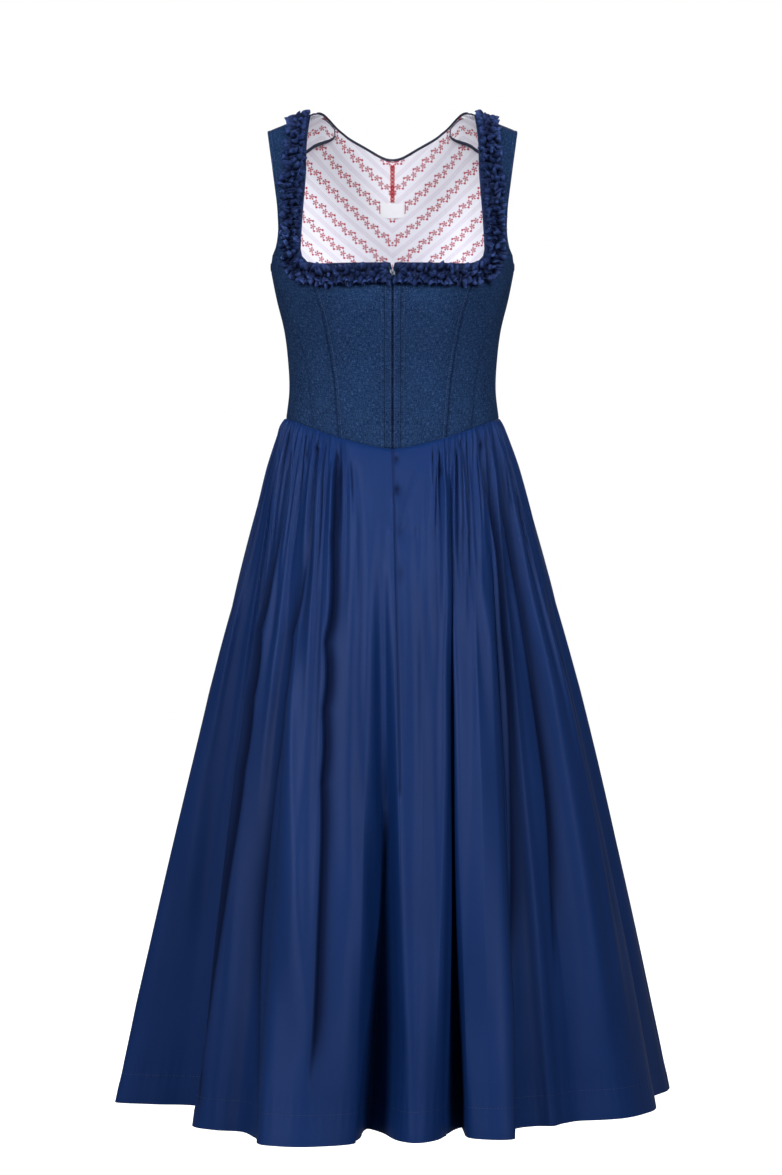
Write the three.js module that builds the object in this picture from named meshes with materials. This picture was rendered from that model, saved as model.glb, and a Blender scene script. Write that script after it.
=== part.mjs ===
// A sleeveless dirndl, filled out as if worn: a fitted linen bodice with a square neckline,
// a pinched ruffle round the neck, a hooked front, and a full gathered skirt with deep folds.
// Millimetres, +Z up. The front faces -Y. Left and right are the wearer's: left is at +X.
// The origin is midway between the shoulders, at the height where the straps rest on them.

import * as THREE from "three";

// Driving dimensions
const bodiceWall = 1.8;
const liningWall = 1.0;
const skirtWall = 1.4;
const gatherWall = 2.1; // the skirt's wall at its gathers, measured outwards
const seamGap = 0.3;
const waistGap = 0.8;
const hemLevel = 1176; // below the shoulders
const waistSideLevel = 358;
const frontDip = 40; // how much lower the waist seam is at the centre front
const backDip = 14;
const crest = { y: 5, neckX: 92, neckHeight: 11, slope: 0.4, flatWithin: 60, fadeLevel: 150, tipX: 150 };
const bust = { lift: 8, angle: 27, spread: 17, level: 214, height: 42 };
const sectionRoundness = 2.2; // exponent of each section's outline; 2 is an ellipse
const ruffle = { low: 1.6, middle: 2.6, high: 6.4, lift: 0.4, zigzag: 0.9, waveLength: 6.6 };
const strapNeckX = 98; // inner edge of the front strap at the crest
const placket = { from: 0.8, to: 9.6, thickness: 1.0, topLevel: 209, waistInset: 1.5 };
const notch = { depth: 15, halfWidth: 2.6 }; // the small V where the front edges part at the top
const piping = { radius: 1.3, gap: 1.15, sides: 6, steps: 22 };
const label = { width: 30, height: 16.2, thickness: 1.0, level: 100 };
const hook = { wire: 0.5, reach: 2.3, level: 194 };
const facing = { gap: 1.2, droop: 2.6, thickness: 1.2, neckX: 72, tipX: 148, least: 1.6, inset: 1.5 };
const binding = { radius: 1.5, steps: 10 };
// The gathers' swell, and their reach and rise as shares of the way down
const gather = { swell: 2.3, longest: 0.36, shortest: 0.1, rise: 0.02 };
const flatFront = { from: 12, to: 27 }; // angles between which the gathers begin, each side
const flare = { exponent: 0.83, belly: 0.13 }; // the skirt's spread from waist to hem
const valleyGrowth = 1.4; // exponent of a valley's depth on the way down to its onset
const settling = { wall: 0.25, normals: 1 / 6 }; // shares of the way down where these are the folds' own

// Counts of rows and columns
const bodyRows = 9;
const strapRows = 8;
const hemStep = 16; // cloth between two columns of the skirt, at the hem
const skirtRowShares = [0, 0.02, 0.06, 0.12, 0.21, 0.34, 0.5, 0.68, 0.86, 1];

function table(columns, rows) {
  return rows.map((row) => Object.fromEntries(columns.map((name, i) => [name, row[i]])));
}

// Horizontal sections of the body form, by level below the shoulder crest
const torso = table(
  ["level", "halfWidth", "front", "back"],
  [
    [0, 176, 0, 0],
    [10, 175.5, 25, 22],
    [36, 173, 48, 44],
    [72, 168, 68, 66],
    [118, 158.5, 90, 83],
    [150, 151.5, 106, 91],
    [180, 146, 118, 96],
    [215, 139, 122, 97],
    [252, 130, 116, 93],
    [288, 125.5, 106, 86],
    [324, 124, 99, 82],
    [360, 128, 97, 84],
    [400, 132, 98, 88],
  ],
);

// Seam and edge lines, as the angle round the body from the centre front, by level.
// The princess seam runs on up as the neck edge, and the two outer seams as the armhole.
const princessSeam = table(
  ["level", "angle"],
  [
    [0, 34],
    [36, 36.3],
    [72, 37.8],
    [118, 42.1],
    [150, 45.6],
    [168, 47],
    [174, 45.1],
    [180, 43],
    [200, 42],
    [234, 39.3],
    [292, 35.7],
    [368, 30.4],
    [400, 28.6],
  ],
);
const sideFrontSeam = table(
  ["level", "angle"],
  [
    [0, 58.5],
    [48, 56.8],
    [90, 57.4],
    [126, 60],
    [144, 63],
    [160, 69],
    [173, 80],
    [205, 74],
    [254, 62.8],
    [281, 57],
    [316, 53.2],
    [368, 47.4],
    [400, 45],
  ],
);
const backSeam = table(
  ["level", "angle"],
  [
    [0, 121.5],
    [48, 121.9],
    [90, 121],
    [126, 117.7],
    [140, 115.6],
    [160, 121],
    [190, 130],
    [220, 138],
    [252, 144],
    [288, 149],
    [324, 153],
    [372, 157],
  ],
);

// Where the bodice's body part ends: the neckline in front, the armhole at the side, and
// on the two strap panels the line from which the strap rises
const bodyTop = table(
  ["angle", "level"],
  [
    [0, 182],
    [30, 182],
    [38, 181],
    [43, 178.5],
    [80, 173],
    [85, 176.5],
    [90, 178],
    [98, 174.5],
    [103.4, 168],
    [108.8, 160],
    [115.6, 140],
    [150, 140],
    [180, 140],
  ],
);

// The back neckline, from the centre back to the shoulder crest
const backNeck = table(
  ["x", "level"],
  [
    [0, 50.7],
    [6, 50.2],
    [14, 48],
    [24, 43.7],
    [34, 39.3],
    [46, 34.3],
    [56, 29.6],
    [64, 24.1],
    [71, 17.5],
    [78, 9.8],
    [85, 3.2],
    [92, 0],
  ],
);

// Lower edge of the strap's inside facing, on the back of the shoulder
const facingEdge = table(
  ["x", "level"],
  [
    [72, 24.5],
    [85, 25.3],
    [97, 26.5],
    [107, 31],
    [147, 38],
  ],
);

// The ruffle's two edges, from the centre front round the neck corner and up the strap
const rufflePath = table(
  ["innerAngle", "innerLevel", "outerAngle", "outerLevel", "fullness"],
  [
    [1.6, 182.5, 1.4, 207, 1],
    [15, 182.5, 14, 208.5, 1],
    [30, 182.5, 30, 209, 1],
    [39, 181, 46, 204, 1],
    [44.5, 176.5, 56, 192, 1],
    [47, 166, 59, 172, 1],
    [45.6, 150, 58, 150, 1],
    [42.1, 118, 55, 116, 1],
    [37.8, 72, 51, 70, 1],
    [36.3, 36, 47, 35, 1.1],
    [35.2, 10, 45, 10, 1.35],
    [34.2, 0.05, 44, 0.05, 1.7],
  ],
);

// The skirt's folds at the hem, in plan, from the centre front round by the wearer's left.
// Each row is one fold: where it hangs from the waist, its crown and the valley after it.
// The valley has its full depth from its onset, a share of the way down.
const folds = table(
  ["angle", "crownX", "crownY", "breadth", "turn", "swell", "valleyX", "valleyY", "sway", "onset"],
  [
    [16, 26, -262, 36, -4, 11, 79, -176, 0, 0.12],
    [44, 109, -243, 48, -2, 8, 141, -186, 0, 0.3],
    [60, 180, -160, 40, 28, 8, 213, -136, 0, 0.4],
    [73, 290, -82, 84, 58, 9, 309, 20, 0, 0.4],
    [97, 333, 108, 74, 96, 9, 290, 158, 0, 0.4],
    [116, 256, 222, 50, 158, 10, 205, 192, 0, 0.3],
    [139, 154, 252, 48, 163, 12, 99, 202, 0, 0.5],
    [164, 45, 268, 58, 168, 12, -3, 216, 0, 0.3],
    [191, -46, 270, 56, 186, 12, -101, 206, 0, 0.4],
    [217, -152, 254, 54, 198, 11, -207, 184, 0, 0.3],
    [242, -252, 198, 58, 214, 10, -279, 146, 0, 0.5],
    [262, -312, 88, 70, 252, 9, -312, 24, 0, 0.4],
    [277, -290, -18, 86, -12, 5, -202, -58, 0, 0.15],
    [298, -200, -186, 66, -34, 7, -154, -242, 0, 0.4],
    [327, -96, -280, 100, 4, 15, -28, -184, 16, 0.85],
  ],
);
const crownSpan = 0.36; // share of a fold's waist angle that its crown takes, each way

const colours = { linen: 0x21365b, sateen: 0x1b2f58, ruffle: 0x141d3f, lining: 0xe2e4ec, steel: 0xb9bcc2 };
const linen = new THREE.MeshStandardMaterial({ color: colours.linen, roughness: 0.9, metalness: 0 });
const sateen = new THREE.MeshStandardMaterial({ color: colours.sateen, roughness: 0.55, metalness: 0 });
const ruffleCloth = new THREE.MeshStandardMaterial({ color: colours.ruffle, roughness: 0.7, metalness: 0 });
const liningCloth = new THREE.MeshStandardMaterial({ color: colours.lining, roughness: 0.85, metalness: 0 });
const steel = new THREE.MeshStandardMaterial({ color: colours.steel, roughness: 0.3, metalness: 1 });

const radians = THREE.MathUtils.degToRad;
const degrees = THREE.MathUtils.radToDeg;
const lerp = THREE.MathUtils.lerp;
const clamp = THREE.MathUtils.clamp;

// A smooth function through the rows' [from, to] pairs
function smooth(rows, from, to, scale = (value) => value) {
  const xs = rows.map((row) => scale(row[from]));
  const ys = rows.map((row) => row[to]);
  const last = xs.length - 1;
  const slopeBetween = (a, b) => (ys[b] - ys[a]) / (xs[b] - xs[a]);
  const slopes = xs.map((_, i) => slopeBetween(Math.max(0, i - 1), Math.min(last, i + 1)));
  return (value) => {
    const x = clamp(scale(value), xs[0], xs[last]);
    const found = xs.findIndex((edge) => edge >= x);
    const i = clamp(found - 1, 0, last - 1);
    const width = xs[i + 1] - xs[i];
    const t = (x - xs[i]) / width;
    const startWeight = (1 + 2 * t) * (1 - t) ** 2;
    const endWeight = t * t * (3 - 2 * t);
    const tangents = t * (1 - t) ** 2 * slopes[i] + t * t * (t - 1) * slopes[i + 1];
    return startWeight * ys[i] + endWeight * ys[i + 1] + tangents * width;
  };
}

// The sections are joined over the root of the level, which rounds the wall over the shoulder
const [halfWidthAt, frontAt, backAt] = ["halfWidth", "front", "back"].map((column) =>
  smooth(torso, "level", column, Math.sqrt),
);
const princessAt = smooth(princessSeam, "level", "angle");
const sideFrontAt = smooth(sideFrontSeam, "level", "angle");
const backSeamAt = smooth(backSeam, "level", "angle");
const bodyTopAt = smooth(bodyTop, "angle", "level");
const backNeckAt = smooth(backNeck, "x", "level");
const facingEdgeAt = smooth(facingEdge, "x", "level");

function crestHeight(x) {
  return crest.neckHeight - crest.slope * (Math.max(Math.abs(x), crest.flatWithin) - crest.neckX);
}

// A point of the body form's surface. The angle runs from the centre front, 0, by the
// wearer's left, 90, to the centre back, 180, and on by the right to 360.
function formPoint(angle, level) {
  const mirrored = angle > 180;
  const turned = mirrored ? 360 - angle : angle;
  const sine = Math.abs(Math.sin(radians(turned)));
  const round = (1 - sine ** sectionRoundness) ** (1 / sectionRoundness);
  const x = halfWidthAt(level) * Math.sin(radians(turned));
  const away = ((turned - bust.angle) / bust.spread) ** 2 + ((level - bust.level) / bust.height) ** 2;
  const front = frontAt(level) * round + bust.lift * Math.exp(-away);
  const y = crest.y + (turned < 90 ? -front : backAt(level) * round);
  const fade = Math.max(0, 1 - level / crest.fadeLevel) ** 2;
  return new THREE.Vector3(mirrored ? -x : x, y, crestHeight(x) * fade - level);
}

// The form's outward normal
function formNormal(angle, level) {
  const turn = 0.4;
  const root = Math.sqrt(level);
  const step = 0.04;
  const across = formPoint(angle + turn, level).sub(formPoint(angle - turn, level));
  const down = formPoint(angle, (root + step) ** 2).sub(formPoint(angle, Math.max(0, root - step) ** 2));
  return down.cross(across).normalize();
}

// A surface point with its normal
function onForm(angle, level) {
  return { point: formPoint(angle, level), normal: formNormal(angle, level) };
}

function moved({ point, normal }, distance) {
  return point.clone().addScaledVector(normal, distance);
}

// The angle at which the form reaches a given x
function angleAt(x, level, behind) {
  const angle = degrees(Math.asin(clamp(x / halfWidthAt(level), -1, 1)));
  return behind ? 180 - angle : angle;
}

function waistLevel(angle) {
  const sine = Math.abs(Math.sin(radians(angle)));
  const inFront = Math.cos(radians(angle)) > 0;
  return waistSideLevel + (inFront ? frontDip * (1 - sine ** 1.45) : backDip * (1 - sine));
}

function bodyLevel(angle, share) {
  return lerp(waistLevel(angle), bodyTopAt(angle), share);
}

// A seam's angle at a share of the way up from waist to top
function seamAngle(seam, share) {
  let angle = seam(waistSideLevel);
  for (let i = 0; i < 12; i++) angle = seam(bodyLevel(angle, share));
  return angle;
}

// A closed surface from its points and triangles, turned so that its faces look outwards
function geometryOf(points, triangles) {
  const geometry = new THREE.BufferGeometry();
  geometry.setAttribute("position", new THREE.Float32BufferAttribute(points.flatMap((p) => p.toArray()), 3));
  let volume = 0;
  for (const [a, b, c] of triangles) volume += points[a].dot(points[b].clone().cross(points[c]));
  const facingOut = volume > 0 ? triangles : triangles.map(([a, b, c]) => [a, c, b]);
  geometry.setIndex(facingOut.flat());
  geometry.computeVertexNormals();
  return geometry;
}

// A closed wall between two grids of points with the same rows and columns
function wallGeometry(outer, inner) {
  const rows = outer.length;
  const columns = outer[0].length;
  const points = [...outer.flat(), ...inner.flat()];
  const triangles = [];
  const outerIndex = (row, column) => row * columns + column;
  const innerIndex = (row, column) => rows * columns + row * columns + column;
  const quad = (a, b, c, d) => triangles.push([a, b, c], [a, c, d]);
  const quadInside = (a, b, c, d) => triangles.push([c, b, a], [d, c, a]);
  for (let row = 0; row < rows - 1; row++) {
    for (let column = 0; column < columns - 1; column++) {
      const corners = [[row, column], [row, column + 1], [row + 1, column + 1], [row + 1, column]];
      quad(...corners.map((corner) => outerIndex(...corner)));
      quadInside(...corners.map((corner) => innerIndex(...corner)));
    }
  }
  const rim = [];
  for (let column = 0; column < columns - 1; column++) rim.push([0, column]);
  for (let row = 0; row < rows - 1; row++) rim.push([row, columns - 1]);
  for (let column = columns - 1; column > 0; column--) rim.push([rows - 1, column]);
  for (let row = rows - 1; row > 0; row--) rim.push([row, 0]);
  rim.forEach((corner, i) => {
    const next = rim[(i + 1) % rim.length];
    quad(outerIndex(...next), outerIndex(...corner), innerIndex(...corner), innerIndex(...next));
  });
  return geometryOf(points, triangles);
}

// Draws a grid's border in by half a seam gap, so that neighbours keep their distance
function drawnIn(grid, distance = seamGap / 2) {
  const step = (from, to) => to.point.clone().sub(from.point).setLength(distance);
  const last = grid.length - 1;
  const shifts = grid.map((row, j) =>
    row.map((place, i) => {
      const end = row.length - 1;
      const shift = new THREE.Vector3();
      if (i === 0) shift.add(step(place, row[1]));
      if (i === end) shift.add(step(place, row[end - 1]));
      if (j === 0) shift.add(step(place, grid[1][i]));
      if (j === last) shift.add(step(place, grid[last - 1][i]));
      return shift;
    }),
  );
  return grid.map((row, j) =>
    row.map((place, i) => ({ point: place.point.clone().add(shifts[j][i]), normal: place.normal })),
  );
}

function wallOn(grid, outside, thickness) {
  const layer = (distance) => grid.map((row) => row.map((place) => moved(place, distance)));
  return wallGeometry(layer(outside), layer(outside - thickness));
}

const dirndl = new THREE.Group();

function add(name, geometry, material) {
  const mesh = new THREE.Mesh(geometry, material);
  mesh.name = name;
  dirndl.add(mesh);
}

// The same piece for the wearer's left, as made, and mirrored for the right
function addPair(name, geometry, material) {
  add(`${name}_left`, geometry, material);
  const mirrored = geometry.clone().scale(-1, 1, 1);
  const index = mirrored.index.array;
  for (let i = 0; i < index.length; i += 3) [index[i + 1], index[i + 2]] = [index[i + 2], index[i + 1]];
  mirrored.computeVertexNormals();
  add(`${name}_right`, mirrored, material);
}

// Body part of a bodice panel: rows from the waist up, columns from one seam to the next
function bodyGrid(columns, innerSeam, outerSeam) {
  return Array.from({ length: bodyRows + 1 }, (_, j) => {
    const share = j / bodyRows;
    const from = seamAngle(innerSeam, share);
    const to = seamAngle(outerSeam, share);
    return Array.from({ length: columns + 1 }, (__, i) => {
      const angle = lerp(from, to, i / columns);
      return onForm(angle, bodyLevel(angle, share));
    });
  });
}

// Strap part of a panel: rows from the body's top line up to the tops given for each column.
// An edge that has a line of its own pulls its neighbours along.
function strapGrid(columns, fromAngle, toAngle, tops, fromEdge, toEdge) {
  return Array.from({ length: strapRows }, (_, k) => {
    const rise = (k + 1) / strapRows;
    const left = (1 - rise) ** 2;
    const levelOf = (i) => lerp(tops[i].level, bodyTopAt(lerp(fromAngle, toAngle, i / columns)), left);
    const plain = (i) => lerp(tops[i].angle, lerp(fromAngle, toAngle, i / columns), left);
    const fromPull = fromEdge(levelOf(0)) - plain(0);
    const toPull = toEdge(levelOf(columns)) - plain(columns);
    return tops.map((top, i) => {
      const across = i / columns;
      return onForm(plain(i) + fromPull * (1 - across) + toPull * across, levelOf(i));
    });
  });
}

// Front panel beside the opening. Its edge parts a little at the neck.
function centreEdge(level) {
  const open = clamp((bodyTop[0].level + notch.depth - level) / notch.depth, 0, 1);
  return angleAt(seamGap / 2 + notch.halfWidth * open ** 2, level, false);
}
const frontCentre = bodyGrid(6, centreEdge, princessAt);
addPair("bodice_front_centre", wallOn(drawnIn(frontCentre), 0, bodiceWall), linen);

// Front panel that rises into the strap
const strapColumns = 6;
const frontTops = Array.from({ length: strapColumns + 1 }, (_, i) => {
  const x = lerp(strapNeckX, crest.tipX, i / strapColumns);
  return { angle: angleAt(x, 0, false), level: 0 };
});
const frontStrap = strapGrid(
  strapColumns,
  seamAngle(princessAt, 1),
  seamAngle(sideFrontAt, 1),
  frontTops,
  princessAt,
  sideFrontAt,
);
const frontSide = [...bodyGrid(strapColumns, princessAt, sideFrontAt), ...frontStrap];
addPair("bodice_front_strap", wallOn(drawnIn(frontSide), 0, bodiceWall), linen);

// Side panels, on each side of the side seam
const sideSeam = () => 90;
addPair("bodice_side_front", wallOn(drawnIn(bodyGrid(3, sideFrontAt, sideSeam)), 0, bodiceWall), linen);
addPair("bodice_side_back", wallOn(drawnIn(bodyGrid(5, sideSeam, backSeamAt)), 0, bodiceWall), linen);

// Back panel, from the armhole to the centre back, with the back half of the strap
const crestColumns = 4;
const neckColumns = 6;
const backColumns = crestColumns + neckColumns;
const backTops = Array.from({ length: backColumns + 1 }, (_, i) => {
  const x = i <= crestColumns
    ? lerp(crest.tipX, crest.neckX, i / crestColumns)
    : lerp(crest.neckX, 0, (i - crestColumns) / neckColumns);
  const level = i <= crestColumns ? 0 : backNeckAt(x);
  return { angle: angleAt(x, level, true), level };
});
const centreBack = () => 180;
const backStrap = strapGrid(backColumns, seamAngle(backSeamAt, 1), 180, backTops, backSeamAt, centreBack);
const backCentre = drawnIn([...bodyGrid(backColumns, backSeamAt, centreBack), ...backStrap]);
addPair("bodice_back_centre", wallOn(backCentre, 0, bodiceWall), linen);
addPair("lining_back", wallOn(backCentre, -bodiceWall - seamGap, liningWall), liningCloth);

// Placket strips beside the front opening, from under the ruffle to the waist
const placketGrid = Array.from({ length: bodyRows + 1 }, (_, j) => {
  const share = j / bodyRows;
  return [placket.from, (placket.from + placket.to) / 2, placket.to].map((x) => {
    const level = lerp(waistLevel(0) - placket.waistInset, placket.topLevel, share);
    const angle = angleAt(x, level, false);
    return onForm(angle, level - (waistLevel(0) - waistLevel(angle)) * (1 - share));
  });
});
addPair("front_placket", wallOn(placketGrid, seamGap + placket.thickness, placket.thickness), linen);

// Ruffle: a pleated strip with two rows of peaks, laid along the neck edge
function ruffleSections() {
  const columns = Object.keys(rufflePath[0]);
  const numbered = rufflePath.map((row, i) => ({ ...row, i }));
  const along = columns.map((column) => smooth(numbered, "i", column));
  const placeAt = (at) => along.map((column) => column(at));
  const middle = (at) => {
    const [innerAngle, innerLevel, outerAngle, outerLevel] = placeAt(at);
    return formPoint((innerAngle + outerAngle) / 2, (innerLevel + outerLevel) / 2);
  };
  const samples = Array.from({ length: 201 }, (_, i) => (i / 200) * (rufflePath.length - 1));
  const lengths = [0];
  samples.slice(1).forEach((at, i) => lengths.push(lengths[i] + middle(at).distanceTo(middle(samples[i]))));
  const total = lengths.at(-1);
  const count = 2 * Math.round(total / ruffle.waveLength);
  const lengthRows = lengths.map((length, i) => ({ length, at: samples[i] }));
  const atLength = smooth(lengthRows, "length", "at");
  return Array.from({ length: count + 1 }, (_, i) => placeAt(atLength((i / count) * total)));
}

function ruffleGeometry() {
  const sections = ruffleSections();
  const outer = [];
  const inner = [];
  sections.forEach(([innerAngle, innerLevel, outerAngle, outerLevel, fullness], i) => {
    const even = i % 2 === 0;
    const heights = [
      ruffle.low,
      even ? ruffle.high : ruffle.middle,
      even ? ruffle.middle : ruffle.high,
      ruffle.low,
    ];
    const width = formPoint(innerAngle, innerLevel).distanceTo(formPoint(outerAngle, outerLevel));
    const shift = (even ? ruffle.zigzag : -ruffle.zigzag) / width;
    const places = heights.map((_, q) => {
      const share = q / (heights.length - 1) + shift * Math.sign(q - (heights.length - 1) / 2);
      const inside = clamp(share, 0.01, 1.04);
      return onForm(lerp(innerAngle, outerAngle, inside), lerp(innerLevel, outerLevel, inside));
    });
    outer.push(places.map((place, q) => moved(place, ruffle.lift + heights[q] * fullness)));
    inner.push(places.map((place) => moved(place, ruffle.lift)));
  });
  return wallGeometry(outer, inner);
}
addPair("neck_ruffle", ruffleGeometry(), ruffleCloth);

// A round tube along a line of points
function tubeGeometry(line, radius, sides, steps) {
  const section = new THREE.Shape();
  for (let i = 0; i < sides; i++) {
    const turn = (2 * Math.PI * i) / sides;
    section[i ? "lineTo" : "moveTo"](radius * Math.cos(turn), radius * Math.sin(turn));
  }
  section.closePath();
  const extrudePath = new THREE.CatmullRomCurve3(line);
  const geometry = new THREE.ExtrudeGeometry(section, { steps, extrudePath, bevelEnabled: false });
  const count = geometry.attributes.position.count;
  return geometry.setIndex(Array.from({ length: count }, (_, i) => i));
}

// Piping along the back neck edge, standing on the edges of panel and lining
const halfNeck = backTops.slice(crestColumns).map(({ angle, level }) => {
  const { point, normal } = onForm(angle, level);
  const below = formPoint(angle, level + 3);
  const up = point.clone().sub(below).setLength(piping.radius + piping.gap);
  const middleOfWall = (bodiceWall + liningWall) / 2;
  return point.add(up).addScaledVector(normal, -middleOfWall);
});
const otherHalf = halfNeck.slice(0, -1).reverse().map((p) => new THREE.Vector3(-p.x, p.y, p.z));
const neckLine = [...halfNeck, ...otherHalf];
add("neck_piping", tubeGeometry(neckLine, piping.radius, piping.sides, 2 * piping.steps), ruffleCloth);

// The strap's facing inside the back of the shoulder, and the bound edge that it ends in
const facingColumns = 8;
const facingRows = 4;
const facingDepth = bodiceWall + liningWall + 2 * seamGap + facing.gap;
const facingGrid = Array.from({ length: facingRows + 1 }, (_, j) => {
  const fall = j / facingRows;
  return Array.from({ length: facingColumns + 1 }, (__, i) => {
    const x = lerp(facing.neckX, facing.tipX, i / facingColumns);
    const neckTop = x < crest.neckX ? backNeckAt(x) : 0;
    const level = lerp(Math.max(neckTop, facing.least) + facing.inset, facingEdgeAt(x), fall);
    const place = onForm(angleAt(x, level, true), level);
    return { point: moved(place, -facingDepth - facing.droop * fall ** 2), normal: place.normal };
  });
});
addPair("strap_facing", wallOn(facingGrid, 0, facing.thickness), liningCloth);
const bindingLine = facingGrid.at(-1).map((place, i) => {
  const above = facingGrid.at(-2)[i].point;
  const out = place.point.clone().sub(above).setLength(binding.radius + seamGap);
  return moved(place, -facing.thickness / 2).add(out);
});
const bindingTube = tubeGeometry(bindingLine, binding.radius, piping.sides, binding.steps);
addPair("strap_binding", bindingTube, ruffleCloth);

// Blank woven label on the lining at the centre back
const labelGrid = [-1, -1 / 3, 1 / 3, 1].map((up) =>
  [-1, -0.5, 0, 0.5, 1].map((across) => {
    const level = label.level - (up * label.height) / 2;
    return onForm(180 - angleAt((across * label.width) / 2, level, false), level);
  }),
);
const labelDepth = bodiceWall + liningWall + 2 * seamGap;
add("neck_label", wallOn(labelGrid, -labelDepth, label.thickness), liningCloth);

// Wire hook and eye at the top of the front opening, bent through these places
const wireBends = table(
  ["x", "up"],
  [
    [hook.reach, -1],
    [hook.reach - 0.2, 0.6],
    [0.7, 1.2],
    [0.7, 2.4],
    [hook.reach, 3.2],
  ],
);
function wireAcross(side) {
  const centre = moved(onForm(0, hook.level), seamGap + hook.wire);
  return wireBends.map(({ x, up }) => centre.clone().add(new THREE.Vector3(side * x, 0, side * up)));
}
add("front_hook", tubeGeometry(wireAcross(1), hook.wire, 6, 12), steel);
add("front_eye", tubeGeometry(wireAcross(-1), hook.wire, 6, 12), steel);

// The hem's closed outline in plan, through each fold's crown and valley. Beside each place
// stands the chord between the two nearest crowns, where the cloth hangs before the onset.
function hemOutline() {
  const anchors = [];
  const count = folds.length;
  const crownOf = (fold) => new THREE.Vector3(fold.crownX, fold.crownY, 0);
  folds.forEach((fold, k) => {
    const turn = radians(fold.turn);
    const along = new THREE.Vector3(Math.cos(turn), Math.sin(turn), 0);
    const outwards = new THREE.Vector3(Math.sin(turn), -Math.cos(turn), 0);
    const before = folds[(k + count - 1) % count];
    const after = folds[(k + 1) % count];
    const toBefore = (fold.angle - before.angle + 360) % 360;
    const toAfter = (after.angle - fold.angle + 360) % 360;
    const crown = crownOf(fold);
    const addAnchor = (place, turned, neighbour, depth) =>
      anchors.push({
        place,
        angle: fold.angle + turned,
        chord: crown.clone().lerp(crownOf(neighbour), depth / 2),
        sway: (turned < 0 ? before.sway : fold.sway) * depth,
        onset: turned < 0 ? before.onset : fold.onset,
      });
    const start = crown.clone().addScaledVector(along, -fold.breadth / 2);
    const end = crown.clone().addScaledVector(along, fold.breadth / 2);
    addAnchor(start, -toBefore * crownSpan, before, 2 * crownSpan);
    addAnchor(crown.clone().addScaledVector(outwards, fold.swell), 0, before, 0);
    addAnchor(end, toAfter * crownSpan, after, 2 * crownSpan);
    addAnchor(new THREE.Vector3(fold.valleyX, fold.valleyY, 0), toAfter / 2, after, 1);
  });
  return anchors;
}

// Cloth lines of the skirt, each from its place on the waist to its place on the hem
function clothLines() {
  const anchors = hemOutline();
  const curve = new THREE.CatmullRomCurve3(anchors.map((anchor) => anchor.place), true, "centripetal");
  const lines = [];
  anchors.forEach((anchor, i) => {
    const next = anchors[(i + 1) % anchors.length];
    const turn = (next.angle - anchor.angle + 360) % 360;
    const steps = Math.max(2, Math.round(anchor.place.distanceTo(next.place) / hemStep));
    for (let k = 0; k < steps; k++) {
      const t = k / steps;
      lines.push({
        hem: curve.getPoint((i + t) / anchors.length),
        chord: anchor.chord.clone().lerp(next.chord, t),
        angle: (anchor.angle + turn * t + 360) % 360,
        sway: lerp(anchor.sway, next.sway, t),
        onset: lerp(anchor.onset, next.onset, t),
      });
    }
  });
  return lines;
}

// A repeatable number from 0 to 1 for a counter
function unevenness(n) {
  const wave = Math.sin(n * 12.9898) * 43758.5453;
  return wave - Math.floor(wave);
}

function skirtPoint(line, share, number) {
  const waist = onForm(line.angle, waistLevel(line.angle) + waistGap);
  const start = moved(waist, (gatherWall - bodiceWall) / 2);
  const spread = share ** flare.exponent * (1 + flare.belly * share * (1 - share));
  const hem = line.chord.clone().lerp(line.hem, Math.min(1, share / line.onset) ** valleyGrowth);
  const point = new THREE.Vector3(
    lerp(start.x, hem.x, spread) + line.sway * 4 * share * (1 - share),
    lerp(start.y, hem.y, spread),
    lerp(start.z, -hemLevel, share),
  );
  const pair = Math.floor(number / 2);
  const reach = lerp(gather.shortest, gather.longest, unevenness(pair) ** 2);
  const height = gather.swell * (0.55 + 0.45 * unevenness(pair + 50));
  const puff = Math.min(1, 0.5 + share / gather.rise / 2) * Math.max(0, 1 - share / reach);
  const fromFront = Math.min(line.angle, 360 - line.angle);
  const gathered = THREE.MathUtils.smoothstep(fromFront, flatFront.from, flatFront.to);
  const wave = (number % 2 ? -height : height) * puff * gathered;
  return { point, waistNormal: waist.normal.clone().setZ(0).normalize(), wave };
}

// The skirt's two faces, a row for each share of its height and a column for each cloth line.
// The wall stands on the folds' own normals, and at the gathers on the waist's.
function skirtFaces(lines) {
  const outer = [];
  const inner = [];
  skirtRowShares.forEach((share) => {
    const places = lines.map((line, i) => skirtPoint(line, share, i));
    const wall = lerp(gatherWall, skirtWall, Math.min(1, share / settling.wall));
    const normals = places.map((place, i) => {
      const before = places[(i + lines.length - 1) % lines.length].point;
      const along = places[(i + 1) % lines.length].point.clone().sub(before);
      const across = new THREE.Vector3(along.y, -along.x, 0).normalize();
      return place.waistNormal.clone().lerp(across, Math.min(1, share / settling.normals)).normalize();
    });
    const layer = (depth) =>
      places.map((place, i) => place.point.clone().addScaledVector(normals[i], place.wave - depth));
    outer.push(layer(0));
    inner.push(layer(wall));
  });
  return { outer, inner };
}

// One panel's columns of a face, its two side edges parted from the neighbours'
function skirtColumns(face, first, count) {
  return face.map((row) => {
    const own = Array.from({ length: count }, (_, i) => row[(first + i) % row.length].clone());
    const end = count - 1;
    const startStep = own[1].clone().sub(own[0]).setLength(seamGap / 2);
    const endStep = own[end - 1].clone().sub(own[end]).setLength(seamGap / 2);
    own[0].add(startStep);
    own[end].add(endStep);
    return own;
  });
}

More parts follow.
